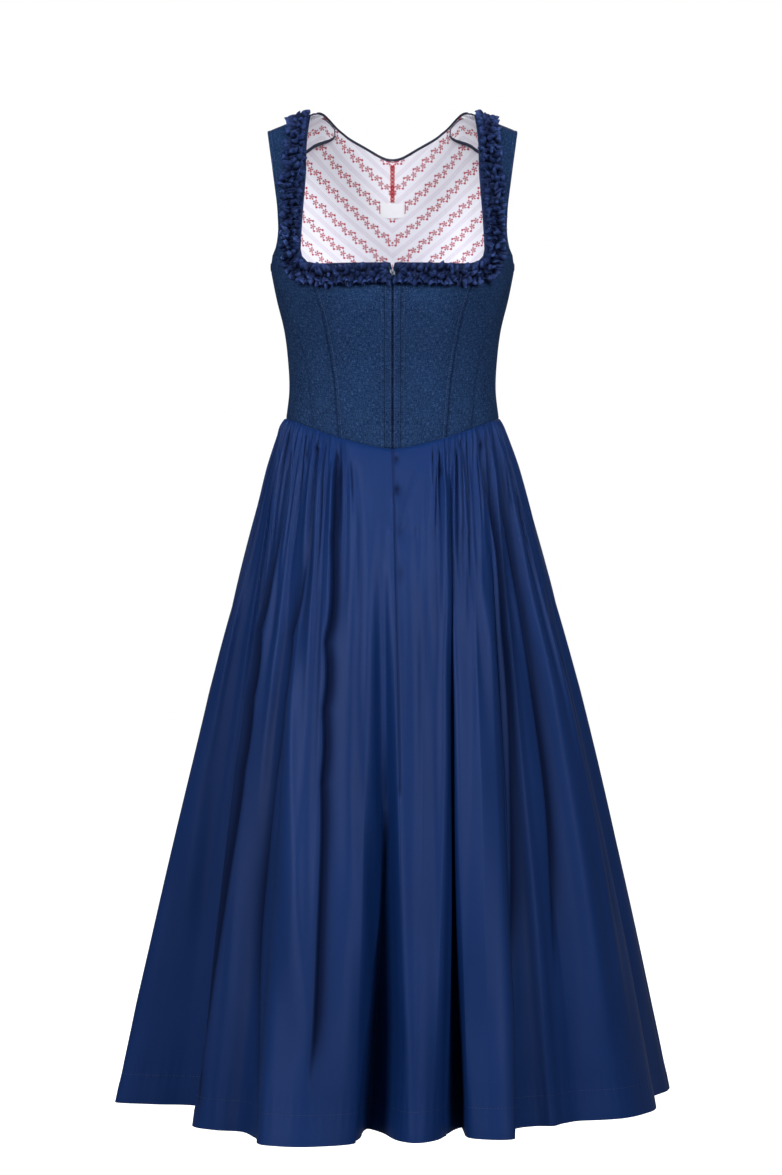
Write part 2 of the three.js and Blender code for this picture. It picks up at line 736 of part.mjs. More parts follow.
const lines = clothLines();
const skirt = skirtFaces(lines);
const nearest = (angle) => {
  const apart = (line) => Math.abs(((line.angle - angle + 540) % 360) - 180);
  return lines.reduce((best, line, i) => (apart(line) < apart(lines[best]) ? i : best), 0);
};
const skirtWidths = [
  ["skirt_front_left", 0, 90],
  ["skirt_back_left", 90, 180],
  ["skirt_back_right", 180, 270],
  ["skirt_front_right", 270, 0],
];
skirtWidths.forEach(([name, from, to]) => {
  const first = nearest(from);
  const count = ((nearest(to) - first + lines.length) % lines.length) + 1;
  const [outer, inner] = [skirt.outer, skirt.inner].map((face) => skirtColumns(face, first, count));
  add(name, wallGeometry(outer, inner), sateen);
});

export default dirndl;
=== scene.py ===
import math

import bpy
import numpy as np
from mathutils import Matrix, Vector


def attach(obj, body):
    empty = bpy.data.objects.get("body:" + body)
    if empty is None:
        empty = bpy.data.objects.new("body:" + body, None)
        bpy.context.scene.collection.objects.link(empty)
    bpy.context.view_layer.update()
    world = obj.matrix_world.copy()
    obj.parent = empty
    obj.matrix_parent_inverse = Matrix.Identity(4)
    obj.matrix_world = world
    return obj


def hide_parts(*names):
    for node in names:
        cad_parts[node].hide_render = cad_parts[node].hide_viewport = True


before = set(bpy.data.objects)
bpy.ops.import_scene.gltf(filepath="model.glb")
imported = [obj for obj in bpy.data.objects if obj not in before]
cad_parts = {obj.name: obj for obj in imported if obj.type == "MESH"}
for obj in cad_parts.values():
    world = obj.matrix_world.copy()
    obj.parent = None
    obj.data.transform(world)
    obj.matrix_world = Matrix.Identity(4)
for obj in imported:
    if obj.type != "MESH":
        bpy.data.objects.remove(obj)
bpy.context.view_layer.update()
scene = bpy.context.scene
scene.view_settings.view_transform = "Standard"
scene.view_settings.look = "None"

# Camera, light and floor

photo = {"scale": 0.0012, "distance": 3.6, "height": -0.560, "aside": -0.0018, "pixels": 1175}
studio = {"floor": -1.40, "backdrop": 1.0, "ambient": 0.15, "glow": 0.95}


def link(obj):
    scene.collection.objects.link(obj)
    return obj


def makeCamera():
    data = bpy.data.cameras.new("camera")
    data.sensor_width = 36
    data.lens = 36 * photo["distance"] / (photo["pixels"] * photo["scale"])
    camera = link(bpy.data.objects.new("camera", data))
    camera.location = (photo["aside"], -photo["distance"], photo["height"])
    camera.rotation_euler = (math.pi / 2, 0, 0)
    scene.camera = camera


def makeLight(name, place, target, size, power, spread=180.0):
    data = bpy.data.lights.new(name, "AREA")
    data.shape = "RECTANGLE"
    data.size, data.size_y = size
    data.energy = power
    data.spread = math.radians(spread)
    light = link(bpy.data.objects.new(name, data))
    light.location = place
    away = Vector(place) - Vector(target)
    light.rotation_euler = away.to_track_quat("Z", "Y").to_euler()


# Shader maths: a socket that adds, subtracts and so on by making nodes


class Socket:
    def __init__(self, shader, socket):
        self.shader = shader
        self.socket = socket

    def __add__(self, other):
        return self.shader.maths("ADD", self, other)

    def __sub__(self, other):
        return self.shader.maths("SUBTRACT", self, other)

    def __rsub__(self, other):
        return self.shader.maths("SUBTRACT", other, self)

    def __mul__(self, other):
        return self.shader.maths("MULTIPLY", self, other)

    def __mod__(self, other):
        return self.shader.maths("FLOORED_MODULO", self, other)

    def __abs__(self):
        return self.shader.maths("ABSOLUTE", self)


class Shader:
    def __init__(self, name):
        self.material = bpy.data.materials.new(name)
        self.material.use_nodes = True
        self.tree = self.material.node_tree
        self.tree.nodes.clear()
        self.surface = self.node("ShaderNodeBsdfPrincipled")
        output = self.node("ShaderNodeOutputMaterial")
        self.tree.links.new(self.surface.outputs[0], output.inputs["Surface"])

    def node(self, kind, settings=None, inputs=None):
        made = self.tree.nodes.new(kind)
        for name, value in (settings or {}).items():
            setattr(made, name, value)
        for name, value in (inputs or {}).items():
            self.feed(made.inputs[name], value)
        return made

    def feed(self, target, value):
        if isinstance(value, Socket):
            self.tree.links.new(value.socket, target)
        else:
            target.default_value = value

    def out(self, made, name=0):
        return Socket(self, made.outputs[name])

    def maths(self, operation, *values):
        made = self.node("ShaderNodeMath", {"operation": operation})
        for target, value in zip(made.inputs, values):
            self.feed(target, value)
        return self.out(made)

    def smoothStep(self, value, low, high):
        inputs = {"Value": value, "From Min": low, "From Max": high}
        return self.out(self.node("ShaderNodeMapRange", {"interpolation_type": "SMOOTHSTEP"}, inputs))

    def mix(self, factor, first, second):
        made = self.node("ShaderNodeMix", {"data_type": "RGBA"})
        for number, value in ((0, factor), (6, first), (7, second)):
            self.feed(made.inputs[number], value)
        return self.out(made, 2)

    def vector(self, x, y, z=0.0):
        return self.out(self.node("ShaderNodeCombineXYZ", None, {"X": x, "Y": y, "Z": z}))

    def noise(self, vector, scale, detail=2.0, rough=0.5):
        inputs = {"Vector": vector, "Scale": scale, "Detail": detail, "Roughness": rough}
        return self.out(self.node("ShaderNodeTexNoise", None, inputs))

    def cloth(self):
        # place on the cloth in millimetres: across, and up the grain
        uv = self.out(self.node("ShaderNodeUVMap", {"uv_map": "cloth"}))
        split = self.node("ShaderNodeSeparateXYZ", None, {"Vector": uv})
        return self.out(split, 0) * 1000.0, self.out(split, 1) * 1000.0

    def place(self):
        return self.out(self.node("ShaderNodeTexCoord"), "Object")

    def painted_shade(self):
        # how much shade is painted at the place, in seams, folds and hollows, from 0 to 1
        return self.out(self.node("ShaderNodeAttribute", {"attribute_name": "painted_shade"}), "Fac")

    def bump(self, height, strength, distance):
        inputs = {"Height": height, "Strength": strength, "Distance": distance}
        self.feed(self.surface.inputs["Normal"], self.out(self.node("ShaderNodeBump", None, inputs)))

    def set(self, values):
        for name, value in values.items():
            self.feed(self.surface.inputs[name], value)


def rgb(red, green, blue):
    shares = [part / 255 for part in (red, green, blue)]
    linear = [c / 12.92 if c < 0.04 else ((c + 0.055) / 1.055) ** 2.4 for c in shares]
    return (*linear, 1.0)


def wave(shader, along, length):
    return shader.maths("SINE", along * (2 * math.pi / length))


def linenMaterial():
    shader = Shader("linen")
    across, up = shader.cloth()
    warp = shader.noise(shader.vector(across * 2.3, up * 0.2), 1.0, 2.0, 0.6)
    weft = shader.noise(shader.vector(across * 0.2, up * 2.3 + 40.0), 1.0, 2.0, 0.6)
    patch = shader.noise(shader.vector(across * 0.02, up * 0.02), 1.0, 2.0)
    fleck = shader.smoothStep(shader.maths("MAXIMUM", warp, weft), 0.5, 0.78)
    base = shader.mix(shader.smoothStep(patch, 0.3, 0.7), rgb(13, 33, 67), rgb(18, 40, 76))
    # painted shade: the base colour is darkened towards navy in the seam grooves and stitch rows
    line = shader.painted_shade()
    flecked = shader.mix(fleck * 0.85, base, rgb(80, 112, 158))
    shader.set({"Base Color": shader.mix(line * 0.4, flecked, rgb(4, 14, 34)), "Roughness": 0.85})
    shader.set({"Specular IOR Level": 0.1, "Specular Tint": rgb(150, 180, 235)})
    shader.bump((warp + weft) * 0.5, 0.3, 0.0004)
    return shader.material


def sateenMaterial():
    shader = Shader("sateen")
    across, up = shader.cloth()
    grain = shader.noise(shader.vector(across * 1.3, up * 0.05), 1.0, 2.0, 0.6)
    patch = shader.noise(shader.vector(across * 0.008, up * 0.005), 1.0, 2.0)
    rib = wave(shader, across + up, 0.6)
    base = shader.mix(shader.smoothStep(patch, 0.3, 0.7), rgb(14, 41, 91), rgb(18, 46, 99))
    # painted shade: the base colour darkens in slits, fold valleys, hollows and along the centre seam, and
    # the cloth is rougher there
    line = shader.painted_shade()
    grained = shader.mix(grain * 0.3, base, rgb(20, 54, 112))
    shadedColour = shader.mix(line * 0.85, grained, rgb(2, 12, 44))
    shader.set({"Base Color": shadedColour, "Roughness": line * 0.35 + 0.48})
    shader.set({"Specular IOR Level": 0.21, "Specular Tint": rgb(195, 205, 250)})
    shader.bump(grain * 0.6 + rib * 0.2, 0.14, 0.0003)
    return shader.material


def ruffleMaterial():
    shader = Shader("ruffle_cotton")
    place = shader.place()
    tone = shader.noise(place, 160.0, 3.0)
    base = shader.mix(shader.smoothStep(tone, 0.3, 0.75), rgb(38, 56, 106), rgb(60, 82, 140))
    # painted shade: the base colour darkens between and under the tucks
    tuckShade = shader.painted_shade()
    shader.set({"Base Color": shader.mix(tuckShade, base, rgb(3, 8, 26)), "Roughness": 0.6})
    shader.set({"Specular IOR Level": 0.25, "Specular Tint": rgb(170, 180, 240)})
    shader.bump(shader.noise(place, 900.0, 2.0), 0.25, 0.0004)
    return shader.material


def flower(shader, along, aside, centre, side, size, petals, turn):
    # petals as separate dots round a small heart; a bud is one dot
    x = along - centre
    y = aside - side
    radius = shader.maths("SQRT", x * x + y * y)
    if petals < 3:
        return 1.0 - shader.smoothStep(radius, size * 0.8, size * 1.1)
    lobe = shader.maths("COSINE", shader.maths("ARCTAN2", y, x) * petals + turn)
    off = radius - size * 0.6
    within = 1.0 - shader.smoothStep(abs(off), size * 0.3, size * 0.42)
    petal = shader.smoothStep(lobe, -0.45, 0.1) * within
    heart = 1.0 - shader.smoothStep(radius, size * 0.14, size * 0.28)
    return shader.maths("MAXIMUM", petal, heart)


def liningMaterial(name, slope, side=1.0):
    # vines of small flowers and triple dotted lines, each pair of halves meeting in a chevron
    motif = {"repeat": 24.0, "period": 16.8, "sway": 1.0, "flower": 3.7, "bud": 1.4, "budAside": 4.3}
    shader = Shader(name)
    across, up = shader.cloth()
    turn = math.radians(slope)
    u = abs(across) if side > 0 else across
    along = u * math.cos(turn) + up * math.sin(turn)
    aside = (up * math.cos(turn) - u * math.sin(turn)) % motif["repeat"] - motif["repeat"] / 2
    place = along % motif["period"]
    half = motif["period"] / 2
    ink = 0.0
    for centre, offset, size, petals, phase in (
        (0.35 * half, -motif["sway"], motif["flower"], 5, 0.4),
        (1.35 * half, motif["sway"], motif["flower"], 5, 1.2),
        (0.85 * half, motif["budAside"], motif["bud"], 2, 0.0),
        (1.78 * half, -motif["budAside"], motif["bud"], 2, 0.0),
    ):
        drawn = flower(shader, place, aside, centre, offset, size, petals, phase)
        ink = shader.maths("MAXIMUM", drawn, ink)
    bend = wave(shader, along - 0.35 * half, motif["period"]) * motif["budAside"]
    stem = 1.0 - shader.smoothStep(abs(aside - bend), 0.35, 0.75)
    gap = motif["repeat"] / 2 - abs(aside)
    rows = shader.smoothStep(wave(shader, gap + 0.45, 1.8), 0.35, 0.8)
    dots = shader.smoothStep(wave(shader, along + gap * 0.6, 1.5), -0.35, 0.4)
    lines = rows * dots * shader.smoothStep(gap, 3.2, 2.6)
    weave = shader.noise(shader.vector(across * 2.0, up * 2.0), 1.0, 2.0)
    ground = shader.mix(weave, rgb(228, 230, 240), rgb(240, 241, 248))
    dotted = shader.mix(lines, ground, rgb(158, 116, 160))
    stemmed = shader.mix(stem * 0.7, dotted, rgb(236, 140, 172))
    shader.set({"Base Color": shader.mix(ink, stemmed, rgb(164, 4, 48)), "Roughness": 0.85})
    shader.set({"Specular IOR Level": 0.15})
    shader.bump(weave, 0.12, 0.0003)
    return shader.material


def plainMaterial(name, dark, light, roughness, scale, bump, metal=0.0):
    shader = Shader(name)
    place = shader.place()
    tone = shader.noise(place, scale, 3.0)
    shader.set({"Base Color": shader.mix(tone, dark, light), "Roughness": roughness, "Metallic": metal})
    shader.bump(tone, bump, 0.0003)
    return shader.material


def stageMaterial():
    shader = Shader("pale_floor")
    tone = shader.noise(shader.place(), 3.0)
    colour = shader.mix(tone, (0.86, 0.86, 0.86, 1), (0.9, 0.9, 0.9, 1))
    shader.set({"Base Color": colour, "Roughness": 0.9, "Emission Color": (1, 1, 1, 1)})
    shader.set({"Emission Strength": studio["glow"]})
    return shader.material


def makeStage():
    mesh = bpy.data.meshes.new("floor")
    reach = 14.0
    corners = [(-reach, -reach), (reach, -reach), (reach, reach), (-reach, reach)]
    mesh.from_pydata([(x, y, studio["floor"]) for x, y in corners], [], [(0, 1, 2, 3)])
    mesh.materials.append(stageMaterial())
    floor = link(bpy.data.objects.new("floor", mesh))
    floor.visible_diffuse = False
    floor.visible_glossy = False
    world = bpy.data.worlds.new("studio")
    scene.world = world
    world.use_nodes = True
    nodes, links = world.node_tree.nodes, world.node_tree.links
    nodes.clear()
    seen = nodes.new("ShaderNodeLightPath")
    strength = nodes.new("ShaderNodeMapRange")
    strength.inputs["To Min"].default_value = studio["ambient"]
    strength.inputs["To Max"].default_value = studio["backdrop"]
    links.new(seen.outputs["Is Camera Ray"], strength.inputs["Value"])
    background = nodes.new("ShaderNodeBackground")
    links.new(strength.outputs[0], background.inputs["Strength"])
    background.inputs["Color"].default_value = (1, 1, 1, 1)
    output = nodes.new("ShaderNodeOutputWorld")
    links.new(background.outputs[0], output.inputs["Surface"])


makeCamera()
makeLight("key", (-1.9, -2.6, 0.9), target=(0, 0, -0.65), size=(1.1, 1.1), power=74)
makeLight("fill", (1.9, -2.7, 0.85), target=(0, 0, -0.65), size=(1.1, 1.1), power=62)
makeLight("front", (0.25, -3.1, 0.75), target=(0, 0, -0.17), size=(0.5, 0.5), power=0.3, spread=16)
makeLight("back", (0.3, 2.0, 1.5), target=(0, 0, -0.5), size=(1.0, 1.0), power=40)
makeStage()
print("stage made")

# The garment's form, in millimetres, as in the solids

wall = {"bodice": 1.8, "lining": 1.0, "skirt": 1.4, "gather": 2.1, "gap": 0.3}
waist = {"side": 358, "frontDip": 40, "backDip": 14, "hem": 1176, "round": 720}
crest = {"y": 5, "neckX": 92, "height": 11, "slope": 0.4, "flat": 60, "fade": 150, "tipX": 150}
bust = {"lift": 8, "angle": 27, "spread": 17, "level": 214, "height": 42}
sectionRoundness = 2.2


def table(columns, rows):
    return [dict(zip(columns, row)) for row in rows]


torso = table(
    ("level", "halfWidth", "front", "back"),
    [
        (0, 176, 0, 0),
        (10, 175.5, 25, 22),
        (36, 173, 48, 44),
        (72, 168, 68, 66),
        (118, 158.5, 90, 83),
        (150, 151.5, 106, 91),
        (180, 146, 118, 96),
        (215, 139, 122, 97),
        (252, 130, 116, 93),
        (288, 125.5, 106, 86),
        (324, 124, 99, 82),
        (360, 128, 97, 84),
        (400, 132, 98, 88),
    ],
)
princessSeam = table(
    ("level", "angle"),
    [
        (0, 34),
        (36, 36.3),
        (72, 37.8),
        (118, 42.1),
        (150, 45.6),
        (168, 47),
        (174, 45.1),
        (180, 43),
        (200, 42),
        (234, 39.3),
        (292, 35.7),
        (368, 30.4),
        (400, 28.6),
    ],
)
sideFrontSeam = table(
    ("level", "angle"),
    [
        (0, 58.5),
        (48, 56.8),
        (90, 57.4),
        (126, 60),
        (144, 63),
        (160, 69),
        (173, 80),
        (205, 74),
        (254, 62.8),
        (281, 57),
        (316, 53.2),
        (368, 47.4),
        (400, 45),
    ],
)
backSeam = table(
    ("level", "angle"),
    [
        (0, 121.5),
        (48, 121.9),
        (90, 121),
        (126, 117.7),
        (140, 115.6),
        (160, 121),
        (190, 130),
        (220, 138),
        (252, 144),
        (288, 149),
        (324, 153),
        (372, 157),
    ],
)
bodyTop = table(
    ("angle", "level"),
    [
        (0, 182),
        (30, 182),
        (38, 181),
        (43, 178.5),
        (80, 173),
        (85, 176.5),
        (90, 178),
        (98, 174.5),
        (103.4, 168),
        (108.8, 160),
        (115.6, 140),
        (150, 140),
        (180, 140),
    ],
)
backNeck = table(
    ("x", "level"),
    [
        (0, 50.7),
        (6, 50.2),
        (14, 48),
        (24, 43.7),
        (34, 39.3),
        (46, 34.3),
        (56, 29.6),
        (64, 24.1),
        (71, 17.5),
        (78, 9.8),
        (85, 3.2),
        (92, 0),
    ],
)
facingEdge = table(("x", "level"), [(72, 24.5), (85, 25.3), (97, 26.5), (107, 31), (147, 38)])
rufflePath = table(
    ("innerAngle", "innerLevel", "outerAngle", "outerLevel", "fullness"),
    [
        (1.6, 182.5, 1.4, 207, 1),
        (15, 182.5, 14, 208.5, 1),
        (30, 182.5, 30, 209, 1),
        (39, 181, 46, 204, 1),
        (44.5, 176.5, 56, 192, 1),
        (47, 166, 59, 172, 1),
        (45.6, 150, 58, 150, 1),
        (42.1, 118, 55, 116, 1),
        (37.8, 72, 51, 70, 1),
        (36.3, 36, 47, 35, 1.1),
        (35.2, 10, 45, 10, 1.35),
        (34.2, 0.05, 44, 0.05, 1.7),
    ],
)


def smooth(rows, start, end, scale=None):
    scaled = scale or (lambda value: value)
    xs = scaled(np.array([row[start] for row in rows], float))
    ys = np.array([row[end] for row in rows], float)
    last = len(xs) - 1
    before = np.maximum(np.arange(last + 1) - 1, 0)
    after = np.minimum(np.arange(last + 1) + 1, last)
    slopes = (ys[after] - ys[before]) / (xs[after] - xs[before])

    def at(value):
        x = np.clip(scaled(np.asarray(value, float)), xs[0], xs[-1])
        i = np.clip(np.searchsorted(xs, x) - 1, 0, last - 1)
        width = xs[i + 1] - xs[i]
        t = (x - xs[i]) / width
        level = (1 + 2 * t) * (1 - t) ** 2 * ys[i] + t * t * (3 - 2 * t) * ys[i + 1]
        return level + (t * (1 - t) ** 2 * slopes[i] + t * t * (t - 1) * slopes[i + 1]) * width

    return at


halfWidthAt, frontAt, backAt = (smooth(torso, "level", c, np.sqrt) for c in ("halfWidth", "front", "back"))
princessAt = smooth(princessSeam, "level", "angle")
sideFrontAt = smooth(sideFrontSeam, "level", "angle")
backSeamAt = smooth(backSeam, "level", "angle")
bodyTopAt = smooth(bodyTop, "angle", "level")
backNeckAt = smooth(backNeck, "x", "level")
facingEdgeAt = smooth(facingEdge, "x", "level")


def crestHeight(x):
    return crest["height"] - crest["slope"] * (np.maximum(np.abs(x), crest["flat"]) - crest["neckX"])


def formPoint(angle, level):
    angle, level = np.broadcast_arrays(np.asarray(angle, float), np.asarray(level, float))
    turned = np.where(angle > 180, 360 - angle, angle)
    turn = np.radians(turned)
    flat = (1 - np.clip(np.abs(np.sin(turn)), 0, 1) ** sectionRoundness) ** (1 / sectionRoundness)
    x = halfWidthAt(level) * np.sin(turn)
    around = (turned - bust["angle"]) / bust["spread"]
    away = around**2 + ((level - bust["level"]) / bust["height"]) ** 2
    front = frontAt(level) * flat + bust["lift"] * np.exp(-away)
    y = crest["y"] + np.where(turned < 90, -front, backAt(level) * flat)
    fade = np.maximum(0, 1 - level / crest["fade"]) ** 2
    z = crestHeight(x) * fade - level
    return np.stack([np.where(angle > 180, -x, x), y, z], -1)


def unit(vectors):
    return vectors / np.maximum(np.linalg.norm(vectors, axis=-1, keepdims=True), 1e-9)


def formNormal(angle, level):
    root = np.sqrt(level)
    across = formPoint(angle + 0.4, level) - formPoint(angle - 0.4, level)
    down = formPoint(angle, (root + 0.04) ** 2) - formPoint(angle, np.maximum(0, root - 0.04) ** 2)
    return unit(np.cross(down, across))


def waistLevel(angle):
    sine = np.abs(np.sin(np.radians(angle)))
    front = waist["frontDip"] * (1 - sine**1.45)
    return waist["side"] + np.where(np.cos(np.radians(angle)) > 0, front, waist["backDip"] * (1 - sine))


def bodyLevel(angle, share):
    return waistLevel(angle) + (bodyTopAt(angle) - waistLevel(angle)) * share


def seamAngle(seam, share):
    angle = seam(np.full(np.shape(share), float(waist["side"])))
    for _ in range(12):
        angle = seam(bodyLevel(angle, share))
    return angle


def angleAt(x, level, behind=False):
    angle = np.degrees(np.arcsin(np.clip(x / halfWidthAt(level), -1, 1)))
    return 180 - angle if behind else angle


# Meshes from grids


def quadsOf(rows, columns, start=0):
    index = np.arange(rows * columns).reshape(rows, columns) + start
    return np.stack([index[:-1, :-1], index[:-1, 1:], index[1:, 1:], index[1:, :-1]], -1).reshape(-1, 4)


def meshOf(name, points, quads, uv, materials, slots=None, sharpness=50, painted_shade=None):
    mesh = bpy.data.meshes.new(name)
    mesh.vertices.add(len(points))
    mesh.vertices.foreach_set("co", (points * 0.001).astype(np.float32).ravel())
    mesh.loops.add(quads.size)
    mesh.loops.foreach_set("vertex_index", quads.ravel().astype(np.int32))
    mesh.polygons.add(len(quads))
    mesh.polygons.foreach_set("loop_start", np.arange(0, quads.size, 4, dtype=np.int32))
    layer = mesh.uv_layers.new(name="cloth")
    layer.data.foreach_set("uv", (uv[quads.ravel()] * 0.001).astype(np.float32).ravel())
    # painted shade, kept on each point so the shader can darken the base colour there
    if painted_shade is not None:
        shade = mesh.attributes.new("painted_shade", "FLOAT", "POINT")
        shade.data.foreach_set("value", painted_shade.astype(np.float32))
    for material in materials:
        mesh.materials.append(material)
    if slots is not None:
        mesh.polygons.foreach_set("material_index", slots.astype(np.int32))
    mesh.update(calc_edges=True)
    mesh.polygons.foreach_set("use_smooth", np.ones(len(quads), bool))
    mesh.set_sharp_from_angle(angle=math.radians(sharpness))
    return link(bpy.data.objects.new(name, mesh))


def volumeOf(points, quads):
    a, b, c, d = (points[quads[:, k]] for k in range(4))
    return (np.cross(b, c) * a).sum() + (np.cross(c, d) * a).sum()


def shell(name, outer, inner, uv, materials, rounding=0.5, painted_shade=None):
    # a closed wall: outer and inner faces, and a rounded rim between them
    rows, columns = outer.shape[:2]
    size = rows * columns
    outerQuads = quadsOf(rows, columns)
    innerQuads = quadsOf(rows, columns, size)[:, ::-1]
    ring = np.concatenate(
        [
            np.arange(columns - 1),
            np.arange(rows - 1) * columns + columns - 1,
            (rows - 1) * columns + np.arange(columns - 1, 0, -1),
            np.arange(rows - 1, 0, -1) * columns,
        ]
    )
    flatOuter, flatInner = outer.reshape(-1, 3), inner.reshape(-1, 3)
    middle = (flatOuter[ring] + flatInner[ring]) / 2
    rowAt, columnAt = np.divmod(ring, columns)
    nearRow = np.clip(rowAt, 1, rows - 2)
    nearColumn = np.clip(columnAt, 1, columns - 2)
    outwards = unit(flatOuter[ring] - flatOuter[nearRow * columns + nearColumn])
    half = np.linalg.norm(flatOuter[ring] - flatInner[ring], axis=-1, keepdims=True) / 2
    middle = middle + outwards * half * rounding
    bent = 2 * size + np.arange(len(ring))
    following = np.roll(np.arange(len(ring)), -1)
    rimOuter = np.stack([ring[following], ring, bent, bent[following]], -1)
    rimInner = np.stack([bent[following], bent, ring + size, ring[following] + size], -1)
    points = np.concatenate([flatOuter, flatInner, middle])
    quads = np.concatenate([outerQuads, innerQuads, rimOuter, rimInner])
    if volumeOf(points, quads) < 0:
        quads = quads[:, ::-1]
    flatUv = uv.reshape(-1, 2)
    slots = np.zeros(len(quads), int)
    if len(materials) > 1:
        slots[len(outerQuads) : 2 * len(outerQuads)] = 1
    uvs = np.concatenate([flatUv, flatUv, flatUv[ring]])
    # painted shade on the outer face only, none on the inner face or the rim
    lines = None
    if painted_shade is not None:
        flat = painted_shade.ravel()
        lines = np.concatenate([flat, flat * 0, flat[ring] * 0])
    return meshOf(name, points, quads, uvs, materials, slots, painted_shade=lines)


def gridDistances(points):
    across = np.linalg.norm(np.diff(points, axis=1), axis=-1)
    u = np.concatenate([np.zeros((len(points), 1)), np.cumsum(across, axis=1)], axis=1)
    up = np.linalg.norm(np.diff(points, axis=0), axis=-1)
    v = np.concatenate([np.zeros((1, points.shape[1])), np.cumsum(up, axis=0)], axis=0)
    return u, v


def ridge(distance, width):
    return np.exp(-((distance / width) ** 2))


def mirrorX(points):
    return points * np.array([-1.0, 1.0, 1.0])


def bothSides(*grids):
    # grids made for the wearer's left, and mirrored for the right
    return ("left", grids), ("right", tuple(mirrorX(grid) for grid in grids))


def settle(piece, slot, *nodes):
    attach(piece, "root")
    if nodes:
        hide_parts(*nodes)


def declare(piece, slot, node, flat, area, held="stretched"):
    settle(piece, slot, node)


# Repeated things: one to each point of a cloud, made by Geometry Nodes


def pointTree(name, inputs):
    tree = bpy.data.node_groups.new(name, "GeometryNodeTree")
    for label, kind in (("Geometry", "Geometry"), *inputs):
        tree.interface.new_socket(name=label, in_out="INPUT", socket_type="NodeSocket" + kind)
    tree.interface.new_socket(name="Geometry", in_out="OUTPUT", socket_type="NodeSocketGeometry")
    return tree, tree.nodes.new("NodeGroupInput")


def repeatOnPoints(tree, given, thing, material, size=None):
    # the thing at each point, turned by the point's attributes, realised and given its material
    nodes, links = tree.nodes, tree.links

    def attribute(label):
        made = nodes.new("GeometryNodeInputNamedAttribute")
        made.data_type = "FLOAT_VECTOR"
        made.inputs["Name"].default_value = label
        return made.outputs["Attribute"]

    upright = nodes.new("FunctionNodeAlignRotationToVector")
    upright.axis = "Z"
    links.new(attribute("out"), upright.inputs["Vector"])
    turned = nodes.new("FunctionNodeAlignRotationToVector")
    turned.axis = "X"
    turned.pivot_axis = "Z"
    links.new(upright.outputs[0], turned.inputs["Rotation"])
    links.new(attribute("along"), turned.inputs["Vector"])
    repeat = nodes.new("GeometryNodeInstanceOnPoints")
    links.new(given.outputs["Geometry"], repeat.inputs["Points"])
    links.new(thing, repeat.inputs["Instance"])
    links.new(turned.outputs[0], repeat.inputs["Rotation"])
    if size:
        links.new(attribute(size), repeat.inputs["Scale"])
    real = nodes.new("GeometryNodeRealizeInstances")
    links.new(repeat.outputs[0], real.inputs[0])
    painted = nodes.new("GeometryNodeSetMaterial")
    links.new(real.outputs[0], painted.inputs["Geometry"])
    links.new(given.outputs[material], painted.inputs["Material"])
    links.new(painted.outputs[0], nodes.new("NodeGroupOutput").inputs[0])


def stitchTree():
    # a bowed length of thread
    measures = [(label, "Float") for label in ("Length", "Rise", "Thickness")]
    tree, given = pointTree("stitches", (*measures, ("Thread", "Material")))
    nodes, links = tree.nodes, tree.links

    def combine(x=None, z=None, factor=1.0):
        made = nodes.new("ShaderNodeCombineXYZ")
        if x is not None:
            half = nodes.new("ShaderNodeMath")
            half.operation = "MULTIPLY"
            links.new(x, half.inputs[0])
            half.inputs[1].default_value = factor
            links.new(half.outputs[0], made.inputs["X"])
        if z is not None:
            links.new(z, made.inputs["Z"])
        return made.outputs[0]

    bow = nodes.new("GeometryNodeCurveQuadraticBezier")
    bow.inputs["Resolution"].default_value = 4
    links.new(combine(given.outputs["Length"], None, -0.5), bow.inputs["Start"])
    links.new(combine(None, given.outputs["Rise"]), bow.inputs["Middle"])
    links.new(combine(given.outputs["Length"], None, 0.5), bow.inputs["End"])
    circle = nodes.new("GeometryNodeCurvePrimitiveCircle")
    circle.inputs["Resolution"].default_value = 5
    links.new(given.outputs["Thickness"], circle.inputs["Radius"])
    thread = nodes.new("GeometryNodeCurveToMesh")
    thread.inputs["Fill Caps"].default_value = True
    links.new(bow.outputs[0], thread.inputs["Curve"])
    links.new(circle.outputs[0], thread.inputs["Profile Curve"])
    repeatOnPoints(tree, given, thread.outputs[0], "Thread")
    return tree


def setInputs(modifier, values):
    for item in modifier.node_group.interface.items_tree:
        if item.in_out == "INPUT" and item.name in values:
            modifier[item.identifier] = values[item.name]


def pointCloud(name, points, attributes):
    mesh = bpy.data.meshes.new(name)
    mesh.from_pydata([tuple(p) for p in points * 0.001], [], [])
    for label, values in attributes.items():
        kind = "FLOAT_VECTOR" if values.ndim > 1 else "FLOAT"
        layer = mesh.attributes.new(label, kind, "POINT")
        layer.data.foreach_set("vector" if values.ndim > 1 else "value", values.astype(np.float32).ravel())
    return link(bpy.data.objects.new(name, mesh))


def realised(obj, tree, values, shade=True):
    modifier = obj.modifiers.new("repeat", "NODES")
    modifier.node_group = tree
    setInputs(modifier, values)
    bpy.context.view_layer.update()
    made = bpy.data.meshes.new_from_object(obj.evaluated_get(bpy.context.evaluated_depsgraph_get()))
    obj.modifiers.clear()
    obj.data = made
    if shade:
        made.polygons.foreach_set("use_smooth", np.ones(len(made.polygons), bool))
    return obj


def resampled(line, normals, pitch):
    steps = np.linalg.norm(np.diff(line, axis=0), axis=-1)
    lengths = np.concatenate([[0], np.cumsum(steps)])
    count = max(2, int(lengths[-1] / pitch))
    wanted = (np.arange(count) + 0.5) * lengths[-1] / count
    at = [np.interp(wanted, lengths, line[:, k]) for k in range(3)]
    out = [np.interp(wanted, lengths, normals[:, k]) for k in range(3)]
    points = np.stack(at, -1)
    return points, unit(np.stack(out, -1)), unit(np.gradient(points, axis=0))


def stitchRows(name, rows, thread, slot, pitch, length, thickness):
    # rows of stitches, each given as a line of points with their normals
    sets = [resampled(line, normals, pitch) for line, normals in rows]
    points, normals, along = (np.concatenate(part) for part in zip(*sets))
    cloud = pointCloud(name, points + normals * 0.1, {"out": normals, "along": along})
    values = {"Length": length * 0.001, "Rise": 0.00045, "Thickness": thickness * 0.001, "Thread": thread}
    settle(realised(cloud, stitches, values), slot)


